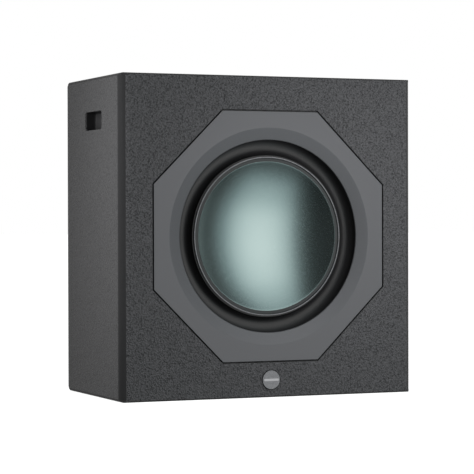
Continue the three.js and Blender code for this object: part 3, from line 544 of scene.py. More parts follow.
def build_cabinet():
    """Six boards, cut from one eased and pierced shell so that they meet exactly, and the two cups."""
    shell = cabinet_block()
    half = WIDTH / 2
    low = (-half + WALL, FACE + BAFFLE, WALL)
    high = (half - WALL, REAR - WALL, HEIGHT - WALL)
    cut(shell, block("inside", low, high))
    cut(shell, *baffle_cuts(), amplifier_hole(), handle_hole(-1), handle_hole(1))
    start, end = (-half - 5, FACE - 5, -5), (half + 5, REAR + 5, HEIGHT + 5)
    regions = {
        "front_baffle": (start, (end[0], low[1], end[2])),
        "back_panel": ((start[0], high[1], start[2]), end),
        "top_panel": ((start[0], low[1], high[2]), (end[0], high[1], end[2])),
        "bottom_panel": ((start[0], low[1], start[2]), (end[0], high[1], low[2])),
        "left_panel": ((start[0], low[1], low[2]), (low[0], high[1], high[2])),
        "right_panel": ((high[0], low[1], low[2]), (end[0], high[1], high[2])),
    }
    for node, region in regions.items():
        board = link(f"{node}_board", shell.data.copy())
        combine(board, block("region", *region), "INTERSECT")
        paint(smooth(board), "satin_paint")
        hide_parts(node)
        paint_edge_shade(board)
        if node == "front_baffle":
            texture_face(board)
    bpy.data.objects.remove(shell)
    for side, name in ((-1, "left_handle_cup"), (1, "right_handle_cup")):
        cup = paint(handle_cup(side, f"{name}_liner"), "cup_paint")
        paint_cup_shade(cup)
        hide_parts(name)


def paint_edge_shade(board):
    """Paints shade onto the box's eased edges: their slanted faces near two edges take a darker finish, a
    painted shade.
    """
    board.data.materials.append(FINISHES["painted_edge_shade"])
    for face in board.data.polygons:
        x, y, z = face.center / MM
        gaps = (WIDTH / 2 - abs(x), min(y - FACE, REAR - y), min(z, HEIGHT - z))
        close = sum(gap < UPRIGHT_EDGE for gap in gaps) > 1
        slanted = max(abs(c) for c in face.normal) < EDGE_TURN
        if close and slanted:
            face.material_index = 1


def texture_face(board):
    """The front is rolled with the coarser paint, which runs a little way round its upright edges."""
    board.data.materials.append(FINISHES["textured_paint"])
    for face in board.data.polygons:
        ahead, outside = -face.normal.y, face.center.y < (FACE + UPRIGHT_EDGE) * MM
        flat = ahead > EDGE_TURN and face.center.y < (FACE + 0.5) * MM
        upright = abs(face.normal.z) < 0.1 and abs(face.center.x) > (WIDTH / 2 - UPRIGHT_EDGE) * MM
        if flat or (upright and outside and ahead > WRAP_TURN):
            face.material_index = 2


def wadding(node):
    """A quilted polyester batt: a soft slab with lumpy faces and drawn-in edges."""
    low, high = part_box(node)
    size = high - low
    counts = (40, 24, 6)
    bm = bmesh.new()
    bmesh.ops.create_cube(bm, size=1.0)
    bmesh.ops.subdivide_edges(bm, edges=bm.edges, cuts=1, use_grid_fill=True)
    for axis, count in enumerate(counts):
        for i in range(1, count):
            offset = -0.5 + i / count
            normal = Vector([1.0 if k == axis else 0.0 for k in range(3)])
            geometry = bm.verts[:] + bm.edges[:] + bm.faces[:]
            bmesh.ops.bisect_plane(bm, geom=geometry, plane_co=normal * offset, plane_no=normal)
    for vert in bm.verts:
        x, y, z = (2 * c for c in vert.co)
        crown = (1 - abs(x) ** 8) * (1 - abs(y) ** 6)
        lump = noise.noise(Vector((x * 9, y * 6, z * 2))) * 0.16
        z *= 0.62 + 0.3 * crown + lump * crown
        draw = 1 - 0.012 * z * z
        middle = (low + high) / 2
        vert.co = middle + Vector((x * draw * size.x, y * draw * size.y, z * size.z)) * 0.49
    batt = from_bmesh(f"{node}_batt", bm)
    batt.data.shade_smooth()
    paint(batt, "wadding")
    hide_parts(node)


def build_badge():
    """A brushed disc with a fine bevel and a plain bright bar, standing just proud of the face."""
    r, front = BADGE_RADIUS, -BADGE_PROUD
    outline = [(0, front + 0.25), (r * 0.4, front + 0.22), (r * 0.75, front + 0.1), (r - 2.2, front)]
    outline += [(r - 1.4, front), *arc((r - 1.2, front + 1.0), 1.0, -90, 0, 5)]
    outline += [(r - 0.2, 2.0), (0, 2.0)]
    badge = smooth(lathe("badge_disc", outline, 96, y=FACE, z=BADGE_Z))
    paint(badge, "spun_metal")
    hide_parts("badge")
    ends = []
    for inset in (0, 0.6):
        width, height = 2 * (r - 2.4) - inset, BADGE_BAR - inset
        ends.append(rounded(width, height, height / 2 - 0.1, 6, 0, BADGE_Z))
    bar = loft("badge_bar", [(ends[0], FACE + 0.5), (ends[0], FACE - 1.6), (ends[1], FACE - 1.9)], "Y")
    paint(smooth(bar), "steel")


# ---- Driver ----


def build_trim():
    """The octagonal plate that hides the driver's flange, dished down to the surround."""
    shoulder = 0.3 * TRIM_ARRIS
    full = octagon(TRIM_FLATS)
    small = octagon(TRIM_FLATS - 2 * TRIM_ARRIS)
    middle = octagon(TRIM_FLATS - 2 * shoulder)
    levels = [(small, 0.0), (middle, shoulder), (full, TRIM_ARRIS), (full, TRIM_THICKNESS)]
    plate = loft("trim_ring_plate", levels, "Y")
    throat = arc((TRIM_OPENING + 1.8, TRIM_DISH_DEPTH + 1.5), 1.8, -108, -180, 5)
    outline = [(0, -1), (TRIM_DISH + 3.6, -0.6), (TRIM_DISH + 1.8, 0.05), (TRIM_DISH - 1.0, 0.75)]
    outline += [*throat, (TRIM_OPENING, TRIM_THICKNESS + 1), (0, TRIM_THICKNESS + 1)]
    dish = lathe("dish", outline, 256)
    cut(plate, dish)
    at(plate, 0, FACE, DRIVER_Z)
    paint(smooth(plate), "trim")
    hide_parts("trim_plate")


def dish_front(radius):
    """The depth of the dish's front, part of a sphere, at a distance from its middle."""
    sphere = (DISH_RADIUS**2 + DISH_DEPTH**2) / (2 * DISH_DEPTH)
    return BAND_FLOOR + DISH_DEPTH - sphere + math.sqrt(sphere**2 - radius**2)


def build_cone():
    """The dished shell, the glue groove round it and the bright ring at its rim."""
    rings = 40
    radii = [DISH_RADIUS * i / rings for i in range(rings + 1)]
    front = [(radius, dish_front(radius)) for radius in radii]
    back = [(radius, dish_front(radius) + DISH_SKIN) for radius in reversed(radii[:-1])]
    groove = [(DISH_RADIUS + 0.5, BAND_FLOOR - 0.1), (DISH_RADIUS + 0.9, BAND_FLOOR + 0.5)]
    groove += [(RING_INNER - 0.9, BAND_FLOOR + 0.5), (RING_INNER - 0.2, BAND_FLOOR - 0.2)]
    ring = [(RING_INNER, RIM_FRONT + 0.3), (RING_INNER + 0.3, RIM_FRONT)]
    ring += [(RING_OUTER - 0.9, RIM_FRONT), *arc((RING_OUTER - 0.8, RIM_FRONT + 0.8), 0.8, -90, 0, 4)]
    rim = [(RING_OUTER, RIM_BACK), (DISH_RADIUS, RIM_BACK + 0.1)]
    outline = front + groove + ring + rim + back
    cone = lathe("cone_dish_shell", outline, 192, y=FACE, z=DRIVER_Z)
    paint(smooth(cone, 40), "teal_metal", "cone")
    cone.data.materials.append(FINISHES["glue_band"])
    cone.data.materials.append(FINISHES["spun_metal"])
    for face in cone.data.polygons:
        radius = math.hypot(face.center.x, face.center.z) / MM
        if DISH_RADIUS + 0.45 < radius < RING_INNER - 0.1:
            face.material_index = 1
        elif radius >= RING_INNER - 0.1:
            face.material_index = 2
    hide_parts("cone_dish")


def radial_blend(piece):
    """Bakes a flexible piece's placement into its mesh."""
    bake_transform(piece)


def bend_finish(piece, slot_name, node):
    """Gives a flexible piece its finish and hides the CAD node it stands for."""
    piece.data.materials.append(FINISHES[slot_name])
    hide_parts(node)


def build_surround():
    """A half-roll of rubber that dips inwards between the cone's rim and the trim plate."""
    steps = 36
    middle, reach = (ROLL_INNER + ROLL_OUTER) / 2, (ROLL_OUTER - ROLL_INNER) / 2
    half = RUBBER / 2

    def roll(grow):
        points = []
        for i in range(steps + 1):
            angle = math.pi * i / steps
            along = (1 - math.cos(angle)) / 2
            base = LIP_BACK + half + (LIP_FRONT - LIP_BACK) * along
            points.append(
                (middle - (reach + grow) * math.cos(angle), base + (ROLL_DEPTH + grow) * math.sin(angle))
            )
        return points

    front, back = roll(-half), roll(half)
    outline = [(LIP_INNER, LIP_BACK), (ROLL_INNER, LIP_BACK), *front, (ROLL_OUTER, LIP_FRONT)]
    outline += [(LIP_OUTER, LIP_FRONT), (LIP_OUTER, LIP_FRONT + RUBBER)]
    outline += [(ROLL_OUTER + half, LIP_FRONT + RUBBER), *reversed(back)]
    outline += [(ROLL_INNER - half, LIP_BACK + RUBBER), (LIP_INNER, LIP_BACK + RUBBER)]
    ring = smooth(lathe("surround_roll", outline, 192, y=FACE, z=DRIVER_Z), 50)
    bend_finish(ring, "rubber", "surround")
    radial_blend(ring)


def build_spider():
    """The corrugated cloth disc that centres the coil."""
    steps = 96
    front = [(SPIDER_NECK, SPIDER_Y)]
    first = SPIDER_NECK + 3
    for i in range(steps + 1):
        share = i / steps
        radius = first + (SPIDER_FOOT - 2 - first) * share
        swell = min(1.0, 6 * share, 6 * (1 - share))
        lift = SPIDER_WAVE * swell * math.sin(2 * math.pi * SPIDER_ROLLS * share)
        front.append((radius, SPIDER_Y + (SPIDER_SEAT - SPIDER_Y) * share**2 + lift))
    front += [(SPIDER_FOOT, SPIDER_SEAT), (SPIDER_OUTER, SPIDER_SEAT)]
    back = [(radius, y + SPIDER_CLOTH) for radius, y in reversed(front)]
    disc = smooth(lathe("spider_disc", front + back, 128, y=FACE, z=DRIVER_Z), 50)
    bend_finish(disc, "spider_cloth", "spider")
    radial_blend(disc)


def tube(name, points, radius, sides=12, steps=60):
    """A round wire along a smooth line through points."""
    curve = bpy.data.curves.new(name, "CURVE")
    curve.dimensions = "3D"
    spline = curve.splines.new("NURBS")
    spline.points.add(len(points) - 1)
    for target, point in zip(spline.points, points):
        target.co = (*(Vector(point) * MM), 1.0)
    spline.order_u = 4
    spline.use_endpoint_u = True
    spline.resolution_u = max(2, steps // len(points))
    curve.bevel_depth = radius * MM
    curve.bevel_resolution = sides // 4
    curve.use_fill_caps = True
    mesh = curve_mesh(curve)
    mesh.shade_smooth()
    return link(name, mesh)


def build_leads():
    """The two braided leads that loop from the terminals to the coil former."""
    for side, word in ((-1, "left"), (1, "right")):
        route = [(96, 75.2), (88, 65), (70, 58), (52, 58), (39.9, 63)]
        points = [(side * r, FACE + y, DRIVER_Z) for r, y in route]
        lead = tube(f"tinsel_lead_{word}_braid", points, 1.2)
        bend_finish(lead, "copper", f"tinsel_lead_{word}")
        radial_blend(lead)


# ---- Plate amplifier ----


def build_plate():
    """The amplifier's plate, pierced for all that it carries."""
    plate = chamfered("amp_plate_panel", AMP_WIDTH, AMP_HEIGHT, AMP_CORNER, 0.6, PLATE_FRONT, PLATE_BACK,
                      8, 0, AMP_Z)
    holes = [(x, KNOB_Z, SHAFT_HOLE) for x in KNOB_X.values()]
    holes += [(x, JACK_Z, JACK_HOLE) for x in JACK_X.values()]
    holes.append((LED_X, LED_Z, LED_HOLE))
    tools = [rod("hole", radius, -9, 9, 32, x, PLATE_BACK, z) for x, z, radius in holes]
    reach = TOGGLE_LEVER / 2 + TOGGLE_TRAVEL + 0.5
    tools.append(window(2 * reach, TOGGLE_LEVER + 1, TOGGLE_X, TOGGLE_Z))
    tools.append(window(ROCKER_WIDTH - 3, ROCKER_HEIGHT - 3, ROCKER_X, ROCKER_Z))
    tools.append(window(INLET_CAN_WIDTH + 1, INLET_CAN_HEIGHT + 1, INLET_X, INLET_Z))
    cut(plate, *tools)
    paint(smooth(plate), "amp_paint")
    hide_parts("amp_plate")


def window(width, height, x, z):
    """A tool that cuts a nearly square-cornered opening in the plate."""
    return slab("window", rounded(width, height, 0.8, 3, x, z), PLATE_FRONT - 5, PLATE_BACK + 5)


def build_screws():
    """Pan-head screws with a hexagon socket all round the plate."""
    across, up = AMP_WIDTH / 2 - SCREW_INSET, AMP_HEIGHT / 2 - SCREW_INSET
    places = [(sx * across, sz * up) for sx in (-1, 1) for sz in (-1, 1)]
    places += [(sx * across, sz * up / 3) for sx in (-1, 1) for sz in (-1, 1)]
    places += [(0, -up), (0, up)]
    head = [(0, 0.05), (3.6, 0.05), (3.6, 0.9), *arc((2.4, 0.9), 1.2, 0, 90, 5), (0, 2.1)]
    washer = [(3.0, 0.02), (4.4, 0.02), (4.4, 0.5), (4.2, 0.7), (3.0, 0.7)]
    for i, (x, z) in enumerate(places):
        screw = lathe(f"amp_screw_{i + 1}", head, 40, x, PLATE_BACK, AMP_Z + z)
        socket = slab("socket", polygon(6, 1.25), 0.7, 4.0)
        cut(screw, at(socket, x, PLATE_BACK, AMP_Z + z))
        combine(screw, lathe("washer", washer, 40, x, PLATE_BACK, AMP_Z + z), "UNION")
        paint(smooth(screw), "bolt_steel")


def build_sink():
    """An extruded heat sink: tapered fins with round tips on a flat base."""
    pitch = (SINK_WIDTH - FIN) / (FINS - 1)
    left = -SINK_WIDTH / 2
    root, tip = ON_PLATE + SINK_BASE, ON_PLATE + SINK_DEPTH
    outline = [(left, ON_PLATE)]
    for i in range(FINS):
        centre = left + FIN / 2 + i * pitch
        narrow = FIN / 2 * 0.72
        up = [(centre - FIN / 2, root), (centre - narrow, tip - narrow)]
        cap = arc((centre, tip - narrow), narrow, 180, 0, 6)[1:-1]
        down = [(centre + narrow, tip - narrow), (centre + FIN / 2, root)]
        if i == 0:
            up = [(left, ON_PLATE + 0.5), up[1]]
        if i == FINS - 1:
            down = [down[0], (SINK_WIDTH / 2, ON_PLATE + 0.5)]
        outline += up + cap + down
        if i < FINS - 1:
            valley = centre + pitch / 2
            outline += arc((valley - (pitch - FIN) / 2 + 1, root), 1, 180, 270, 3)[1:]
            outline += arc((valley + (pitch - FIN) / 2 - 1, root), 1, 270, 360, 3)[:-1]
    outline.append((SINK_WIDTH / 2, ON_PLATE))
    sink = slab("heat_sink_extrusion", outline, SINK_LOW, SINK_HIGH, "Z")
    paint(smooth(sink), "cast_metal")
    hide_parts("heat_sink")


def knob_cap(name):
    """A fluted knob with a dished top, from (radius, height, share of the flutes' depth) rings."""
    bottom, top = KNOB_LIFT, KNOB_LIFT + KNOB_HEIGHT
    count = 8 * KNOB_FLUTES
    profile = [
        (0.0, bottom, 0.0),
        (KNOB_RADIUS - 0.4, bottom, 0.0),
        (KNOB_RADIUS, bottom + 0.5, 0.0),
        (KNOB_RADIUS, bottom + 2.2, 0.0),
        (KNOB_RADIUS - 0.4, bottom + 2.8, 1.0),
        (KNOB_RADIUS - 0.9, top - 2.2, 1.0),
        (KNOB_RADIUS - 1.2, top - 1.1, 0.6),
        (KNOB_RADIUS - 2.0, top - 0.3, 0.0),
        (KNOB_RADIUS - 3.0, top, 0.0),
        (KNOB_RADIUS * 0.5, top - 0.25, 0.0),
        (0.0, top - 0.35, 0.0),
    ]
    bm = bmesh.new()
    rings = []
    for radius, height, flute in profile:
        ring = []
        for i in range(count if radius else 1):
            angle = 2 * math.pi * i / count
            r = radius - FLUTE_DEPTH * flute * (0.5 + 0.5 * math.cos(KNOB_FLUTES * angle)) ** 2
            ring.append(bm.verts.new(Vector((r * math.cos(angle), height, r * math.sin(angle))) * MM))
        rings.append(ring)
    bridge(bm, rings)
    return from_bmesh(name, bm)


def build_knobs():
    """Each knob's cap and the white pointer line let into its top."""
    pointer = rounded(POINTER_WIDTH, POINTER_LENGTH, 0.55, 4, z=KNOB_RADIUS * 0.55)
    for name, x in KNOB_X.items():
        body = f"{name}_knob"
        cap = at(smooth(knob_cap(f"{name}_knob_cap"), 40), x, ON_PLATE, KNOB_Z)
        paint(cap, "black_plastic", body)
        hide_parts(f"{name}_knob")
        top = KNOB_LIFT + KNOB_HEIGHT
        line = slab(f"{name}_knob_pointer", pointer, top - 0.9, top + 0.05)
        detail(at(line, x, ON_PLATE, KNOB_Z), "print_white", body)


def print_text(words, x, z, size):
    """A thin mesh of printed characters on the plate, read from behind the cabinet."""
    curve = bpy.data.curves.new("print", "FONT")
    curve.body = words
    curve.size = size * MM
    curve.align_x = "CENTER"
    curve.align_y = "CENTER"
    curve.extrude = 0.02 * MM
    curve.resolution_u = 3
    mesh = curve_mesh(curve)
    place = Vector((x, PLATE_BACK + 0.03, z)) * MM
    face_back = Matrix(((-1, 0, 0), (0, 0, 1), (0, 1, 0))).to_4x4()
    mesh.transform(Matrix.Translation(place) @ face_back)
    return mesh


def build_dials():
    """Printed scales round the knobs: fine ticks, and a number at both ends and the middle."""
    for name, knob_x in KNOB_X.items():
        bm = bmesh.new()
        for i in range(11):
            angle = KNOB_SWEEP * (i / 5 - 1)
            reach = DIAL_LONG if i % 5 == 0 else DIAL_SHORT
            direction = Vector((-math.sin(angle), 0, math.cos(angle)))
            across = Vector((math.cos(angle), 0, math.sin(angle))) * 0.22
            middle = Vector((knob_x, PLATE_BACK + 0.02, KNOB_Z))
            ends = ((DIAL_INNER, -1), (DIAL_INNER, 1), (reach, 1), (reach, -1))
            corners = [middle + direction * r + across * s for r, s in ends]
            lows = [bm.verts.new(c * MM) for c in corners]
            highs = [bm.verts.new((c + Vector((0, 0.05, 0))) * MM) for c in corners]
            bm.faces.new(highs)
            bm.faces.new(lows)
            bridge(bm, [lows, highs])
        for words, share in zip(DIAL_WORDS[name], (-1, 0, 1)):
            angle = KNOB_SWEEP * share
            x, z = knob_x - DIAL_NUMBERS * math.sin(angle), KNOB_Z + DIAL_NUMBERS * math.cos(angle)
            bm.from_mesh(print_text(words, x, z, DIAL_TYPE))
        detail(from_bmesh(f"{name}_dial_print", bm), "print_white")


def build_jacks():
    """Each phono socket: a barrel, a hexagon nut and a coloured insulator with its hole."""
    tones = {"line_input_left": "print_white", "line_input_right": "red_plastic"}
    for name, x in JACK_X.items():
        r = JACK_RADIUS
        barrel = [(2.9, 0.4), (r, 0.4), (r, JACK_REACH - 0.6), (r - 0.4, JACK_REACH), (3.1, JACK_REACH)]
        barrel += [(2.9, JACK_REACH - 0.4)]
        shell = smooth(lathe(f"{name}_barrel", barrel, 48, x, ON_PLATE, JACK_Z))
        paint(shell, "steel")
        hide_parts(name)
        nut = slab(f"{name}_nut", polygon(6, JACK_NUT), 0.05, 1.7)
        at(smooth(ease(nut, 0.3, 2)), x, ON_PLATE, JACK_Z)
        paint(nut, "steel")
        core = [(0, 0.6), (2.8, 0.6), (2.8, JACK_REACH - 1.0), (2.5, JACK_REACH - 0.7)]
        core += [(1.7, JACK_REACH - 0.7), (1.6, JACK_REACH - 0.9), (1.6, 2), (0, 2)]
        insulator = smooth(lathe(f"{name}_insulator", core, 40, x, ON_PLATE, JACK_Z))
        detail(insulator, tones[name])


def build_led():
    """The status lamp's domed lens and the collar round it."""
    profile = [(0, -2), (LED_RADIUS, -2), (LED_RADIUS, 1.0), *arc((0, 1.0), LED_RADIUS, 0, 90, 8)]
    lens = smooth(lathe("status_led_lens", profile, 40, LED_X, PLATE_BACK - 0.6, LED_Z))
    paint(lens, "lens")
    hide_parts("status_led")
    collar = [(2.8, 0.02), (4.0, 0.02), (4.0, 0.5), (3.6, 0.8), (2.8, 0.8)]
    bezel = smooth(lathe("status_led_collar", collar, 40, LED_X, PLATE_BACK, LED_Z))
    paint(bezel, "black_plastic")


def build_toggle():
    """The automatic switch's sliding lever, with three grip grooves."""
    half = TOGGLE_LEVER / 2
    foot, top = PLATE_FRONT - 3.6, PLATE_BACK + TOGGLE_PROUD
    lever = block(
        "auto_switch_slider",
        (TOGGLE_X - half, foot, TOGGLE_Z - half),
        (TOGGLE_X + half, top, TOGGLE_Z + half),
    )
    for offset in (-1.8, 0, 1.8):
        x = TOGGLE_X + offset
        cut(lever, block("groove", (x - 0.35, top - 0.8, TOGGLE_Z - 4), (x + 0.35, top + 1, TOGGLE_Z + 4)))
    ease(lever, 0.25, 2)
    paint(smooth(lever), "black_plastic", "auto_switch_lever")
    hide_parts("auto_switch_lever")


def build_bezel():
    """The power switch's frame and the can behind it, open for the rocker."""
    top = ON_PLATE + ROCKER_FLANGE
    rim = chamfered("rocker_bezel_frame", ROCKER_WIDTH, ROCKER_HEIGHT, 2, 0.6, ON_PLATE, top,
                    5, ROCKER_X, ROCKER_Z)
    can = rounded(ROCKER_WIDTH - 4, ROCKER_HEIGHT - 4, 0.6, 5, ROCKER_X, ROCKER_Z)
    combine(rim, slab("can", can, ON_PLATE - ROCKER_CAN, ON_PLATE + 0.5), "UNION")
    mouth = rounded(ROCKER_MOUTH, ROCKER_TALL, 0.6, 3, ROCKER_X, ROCKER_Z)
    cut(rim, slab("mouth", mouth, top - 11, top + 1))
    paint(smooth(rim), "black_plastic")
    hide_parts("rocker_bezel")


def build_rocker():
    """The rocker's dished paddle, tilted to its pressed position, with its on and off marks."""
    half, reach = ROCKER_MOUTH / 2 - 0.4, 11.5
    shoulder, crest, dip = 2, 6, 1.8
    dished = [(crest - dip * (1 - (z / reach) ** 2), z) for z in np.linspace(-reach, reach, 17)]
    profile = [(-5, 8), (-5, -8), (shoulder, -reach), *dished, (shoulder, reach)]
    paddle = slab("power_rocker_paddle", profile, -half, half, "X")
    smooth(ease(paddle, 0.35, 2, 50), 25)
    low, high = 3.5, 5.25
    marks = [slab("mark", rounded(1.0, 5, 0.4, 3, z=ROCKER_MARK), low, high),
             lathe("mark", [(1.6, low), (2.5, low), (2.5, high), (1.6, high)], 32)]
    marks[1].data.transform(Matrix.Translation((0, 0, -ROCKER_MARK * MM)))
    pivot = Vector((ROCKER_X, ROCKER_PIVOT, ROCKER_Z)) * MM
    pose = Matrix.Translation(pivot) @ Matrix.Rotation(ROCKER_TILT, 4, "X")
    paddle.data.transform(pose)
    paint(paddle, "black_plastic", "power_rocker")
    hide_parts("power_rocker")
    for mark, name in zip(marks, ("power_rocker_on_mark", "power_rocker_off_mark")):
        mark.name = name
        mark.data.transform(pose)
        detail(mark, "print_white", "power_rocker")


def socket_outline():
    """The usual inlet shape: a rectangle with its two upper corners cut off."""
    w, h, c = SOCKET_WIDTH / 2, SOCKET_HEIGHT / 2, SOCKET_CUT
    middle = INLET_Z + SOCKET_Z
    return [
        (INLET_X - w, middle - h), (INLET_X + w, middle - h), (INLET_X + w, middle + h - c),
        (INLET_X + w - c, middle + h), (INLET_X - w + c, middle + h), (INLET_X - w, middle + h - c),
    ]


def build_inlet():
    """The mains inlet's housing with its socket and fuse slot, and its three pins."""
    top = ON_PLATE + INLET_FLANGE
    housing = chamfered("mains_inlet_housing", INLET_WIDTH, INLET_HEIGHT, 4, 0.7, ON_PLATE, top,
                        6, INLET_X, INLET_Z)
    can = rounded(INLET_CAN_WIDTH, INLET_CAN_HEIGHT, 1.5, 4, INLET_X, INLET_Z)
    combine(housing, slab("can", can, REAR - INLET_CAN, ON_PLATE + 1), "UNION")
    mouth = slab("mouth", socket_outline(), top - SOCKET_DEPTH, top + 1)
    slot = rounded(SLOT_WIDTH, SLOT_HEIGHT, 0.5, 2, INLET_X, INLET_Z + SLOT_Z)
    cut(housing, mouth, slab("slot", slot, top - SLOT_DEPTH - 1, top + 1))
    paint(smooth(housing), "black_plastic")
    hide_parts("mains_inlet")
    foot = top - SOCKET_DEPTH - 1
    for i, (offset, low, high) in enumerate(PINS):
        x, z = INLET_X + offset, INLET_Z + SOCKET_Z
        pin = block(f"mains_inlet_pin_{i + 1}", (x - 1, foot, z + low), (x + 1, foot + PIN_REACH, z + high))
        paint(smooth(ease(pin, 0.5, 3)), "steel")


def build_fuse_drawer():
    """The fuse drawer: a tray with a bed for the fuse, and a front with a notch for a screwdriver."""
    top, x, z = ON_PLATE + INLET_FLANGE, INLET_X, INLET_Z + SLOT_Z
    half, rise = SLOT_WIDTH / 2 - CLEARANCE, SLOT_HEIGHT / 2 - CLEARANCE
    tray = block("fuse_drawer_tray", (x - half, top - SLOT_DEPTH, z - rise), (x + half, top + 1, z + rise))
    bed = block("bed", (x - 10.5, top - 18, z - 2), (x + 10.5, top - 11, z + 6))
    face = block("face", (x - 14, top + 0.3, z - 5), (x + 14, top + 2, z + 5))
    ease(face, 0.4, 2)
    combine(cut(tray, bed), face, "UNION")
    notch = block("notch", (x - 4, top + 1.2, z + 2.6), (x + 4, top + 3, z + 3.6))
    cut(tray, notch)
    paint(smooth(tray), "black_plastic", "fuse_drawer")
    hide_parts("fuse_drawer")


# ---- Inner parts that keep their CAD shape ----

KEPT = {
    "fibreboard": ["window_brace"],
    "foam": ["driver_gasket", "amp_gasket"],
    "cast_metal": ["basket_frame"],
    "former": ["coil_former"],
    "copper": ["voice_coil", "transformer"],
    "ferrite": ["magnet_ring"],
    "board_green": ["circuit_board"],
    "rubber": ["speaker_wire"],
    "black_plastic": ["terminal_block", "capacitor_left", "capacitor_right"],
    "bolt_steel": [f"driver_bolt_{i + 1}" for i in range(8)],
    "steel": ["top_plate", "back_yoke", "auto_switch_body", "board_rail_left", "board_rail_right",
              "transformer_bolt", *(f"{name}_pot" for name in KNOB_X)],
}


def dress_kept_nodes():
    """Gives each CAD node that stays visible its finish."""
    for slot_name, nodes in KEPT.items():
        for node in nodes:
            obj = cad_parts[node]
            for slot in obj.material_slots:
                slot.material = FINISHES[slot_name]


# ---- Stage: floor, light and camera ----


def aim(obj, target):
    direction = Vector(target) - obj.location
    obj.rotation_euler = direction.to_track_quat("-Z", "Y").to_euler()


def softbox(name, place, target, width, height, watts):
    """A rectangular light that neither the lens nor a reflection sees; places and sizes in metres."""
    data = bpy.data.lights.new(name, "AREA")
    data.shape = "RECTANGLE"
    data.size = width
    data.size_y = height
    data.energy = watts
    light = link(name, data)
    light.location = place
    light.visible_camera = False
    light.visible_glossy = False
    aim(light, target)


def build_lights():
    """One box lights the baffle's right half, the other the front of the left side."""
    softbox("front_box", (0.22, -0.70, 0.40), (0.14, -0.16, 0.33), 0.3, 0.3, 2.2)
    softbox("side_box", (-0.60, -0.17, 0.40), (-0.28, -0.15, 0.32), 0.08, 0.6, 1.7)


def angle_profile(tree, value, low, high, stops):
    """A smooth curve through (degrees, level) stops of an angle in radians."""
    share = map_range(tree, value, From_Min=math.radians(low), From_Max=math.radians(high))
    greys = [((degrees - low) / (high - low), (level, level, level, 1.0)) for degrees, level in stops]
    return colour_ramp(tree, share, greys, "EASE")


# Bearing 0 is straight in front of the driver, +90 the object's right-hand side in a front view.
KEY_BEARING = [(-180, 0), (-16, 0), (-8, 0.1), (2, 0.72), (12, 0.95), (22, 1.0), (35, 0.93), (45, 0.7),
               (58, 0.25), (70, 0.03), (86, 0), (180, 0)]
KEY_HEIGHT = [(-90, 0), (-70, 0.04), (-52, 0.08), (-32, 0.55), (-10, 0.95), (8, 1.0), (28, 0.92),
              (40, 0.68), (55, 0.42), (75, 0.1), (90, 0)]
ROOM_BEARING = [(-180, 0.4), (-150, 0.36), (-122, 0.26), (-104, 0.05), (-80, 0.11), (-62, 0.13), (-42, 0.03),
                (0, 0.014), (76, 0.03), (86, 0.2), (102, 0.6), (130, 0.8), (160, 0.65), (180, 0.4)]
ROOM_HEIGHT = [(-90, 0.2), (-50, 0.5), (0, 1.0), (40, 1.0), (65, 1.2), (90, 1.4)]
KEY_STRENGTH = 1.12
KEY_TINT = [(0, (1, 1, 1, 1)), (0.2, (0.84, 0.97, 1, 1)), (0.6, (0.93, 1, 1, 1)), (1, (1, 0.98, 0.965, 1))]


def build_world():
    """White for the lens; for the object, a tall soft key in front to the right and a pale room behind."""
    world = bpy.data.worlds.new("studio")
    bpy.context.scene.world = world
    world.use_nodes = True
    tree = world.node_tree
    direction = add_node(tree, "TexCoord").outputs["Generated"]
    split = feed(tree, add_node(tree, "SeparateXYZ"), Vector=direction)
    ahead = math_node(tree, "MULTIPLY", split.outputs["Y"], -1.0)
    bearing = math_node(tree, "ARCTAN2", split.outputs["X"], ahead)
    height = math_node(tree, "ARCSINE", split.outputs["Z"])
    key, room = (
        math_node(
            tree, "MULTIPLY",
            angle_profile(tree, bearing, -180, 180, bearings),
            angle_profile(tree, height, -90, 90, heights),
        )
        for bearings, heights in ((KEY_BEARING, KEY_HEIGHT), (ROOM_BEARING, ROOM_HEIGHT))
    )
    light = math_node(tree, "MULTIPLY_ADD", key, KEY_STRENGTH, room)
    tint = colour_ramp(tree, key, KEY_TINT)
    seen = add_node(tree, "LightPath").outputs["Is Camera Ray"]
    strength = feed(tree, add_node(tree, "Mix"), Factor=seen, A=light, B=1.0)
    colour = feed(tree, add_node(tree, "MixRGB"), Fac=seen, Color1=tint, Color2=(1, 1, 1, 1))
    background = tree.nodes["Background"]
    feed(tree, background, Strength=strength.outputs["Result"], Color=colour.outputs["Color"])


FLOOR_REACH, FLOOR_DROP, FLOOR_GLOW = 40.0, 0.0005, 0.85  # the first two in metres


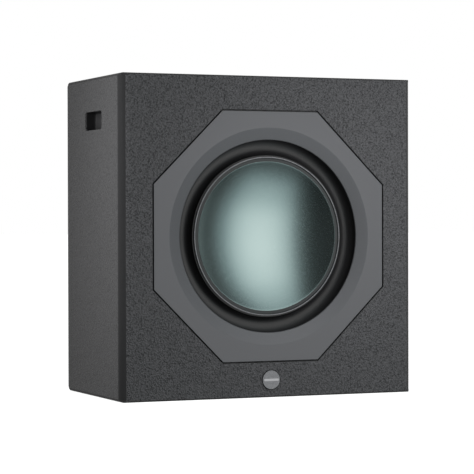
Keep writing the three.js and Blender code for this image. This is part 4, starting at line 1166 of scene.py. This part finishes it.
def build_floor():
    """A pale floor that only the lens sees, so it doesn't tint the object."""
    bm = bmesh.new()
    bmesh.ops.create_grid(bm, x_segments=4, y_segments=4, size=FLOOR_REACH)
    floor = from_bmesh("floor", bm)
    floor.location.z = -FLOOR_DROP
    material = finish("floor_paint", (0.8, 0.8, 0.8, 1.0), 0.9, size=400.0, shade=0.01,
                      Emission_Color=(1, 1, 1, 1), Emission_Strength=FLOOR_GLOW)
    floor.data.materials.append(material)
    floor.visible_diffuse = False
    floor.visible_glossy = False
    floor.visible_shadow = False


CAMERA_PLACE = (-1.450, FACE * MM - 3.2575, 0.309)  # metres
CAMERA_YAW, CAMERA_PITCH, CAMERA_ROLL = (math.radians(angle) for angle in (23.05, -0.47, -0.15))
CAMERA_LENS = 155.3


def build_camera():
    """The photo's angle: yaw turns right of +Y, pitch turns up and roll lifts the camera's right side."""
    data = bpy.data.cameras.new("camera")
    data.lens = CAMERA_LENS
    data.sensor_width = 36.0
    data.clip_start = 0.1
    data.clip_end = 200.0
    camera = link("camera", data)
    yaw, pitch, roll = CAMERA_YAW, CAMERA_PITCH, CAMERA_ROLL
    forward = Vector((math.sin(yaw) * math.cos(pitch), math.cos(yaw) * math.cos(pitch), math.sin(pitch)))
    level = Vector((math.cos(yaw), -math.sin(yaw), 0.0))
    upright = level.cross(forward)
    right = math.cos(roll) * level + math.sin(roll) * upright
    up = -math.sin(roll) * level + math.cos(roll) * upright
    turn = Matrix((right, up, -forward)).transposed().to_4x4()
    camera.matrix_world = Matrix.Translation(CAMERA_PLACE) @ turn
    bpy.context.scene.camera = camera
    bpy.context.scene.view_settings.view_transform = "Standard"


build_camera()
build_floor()
build_world()
build_lights()
build_cabinet()
wadding("upper_wadding")
wadding("lower_wadding")
build_badge()
build_trim()
build_cone()
build_surround()
build_spider()
build_leads()
build_plate()
build_screws()
build_sink()
build_knobs()
build_dials()
build_jacks()
build_led()
build_toggle()
build_bezel()
build_rocker()
build_inlet()
build_fuse_drawer()
dress_kept_nodes()
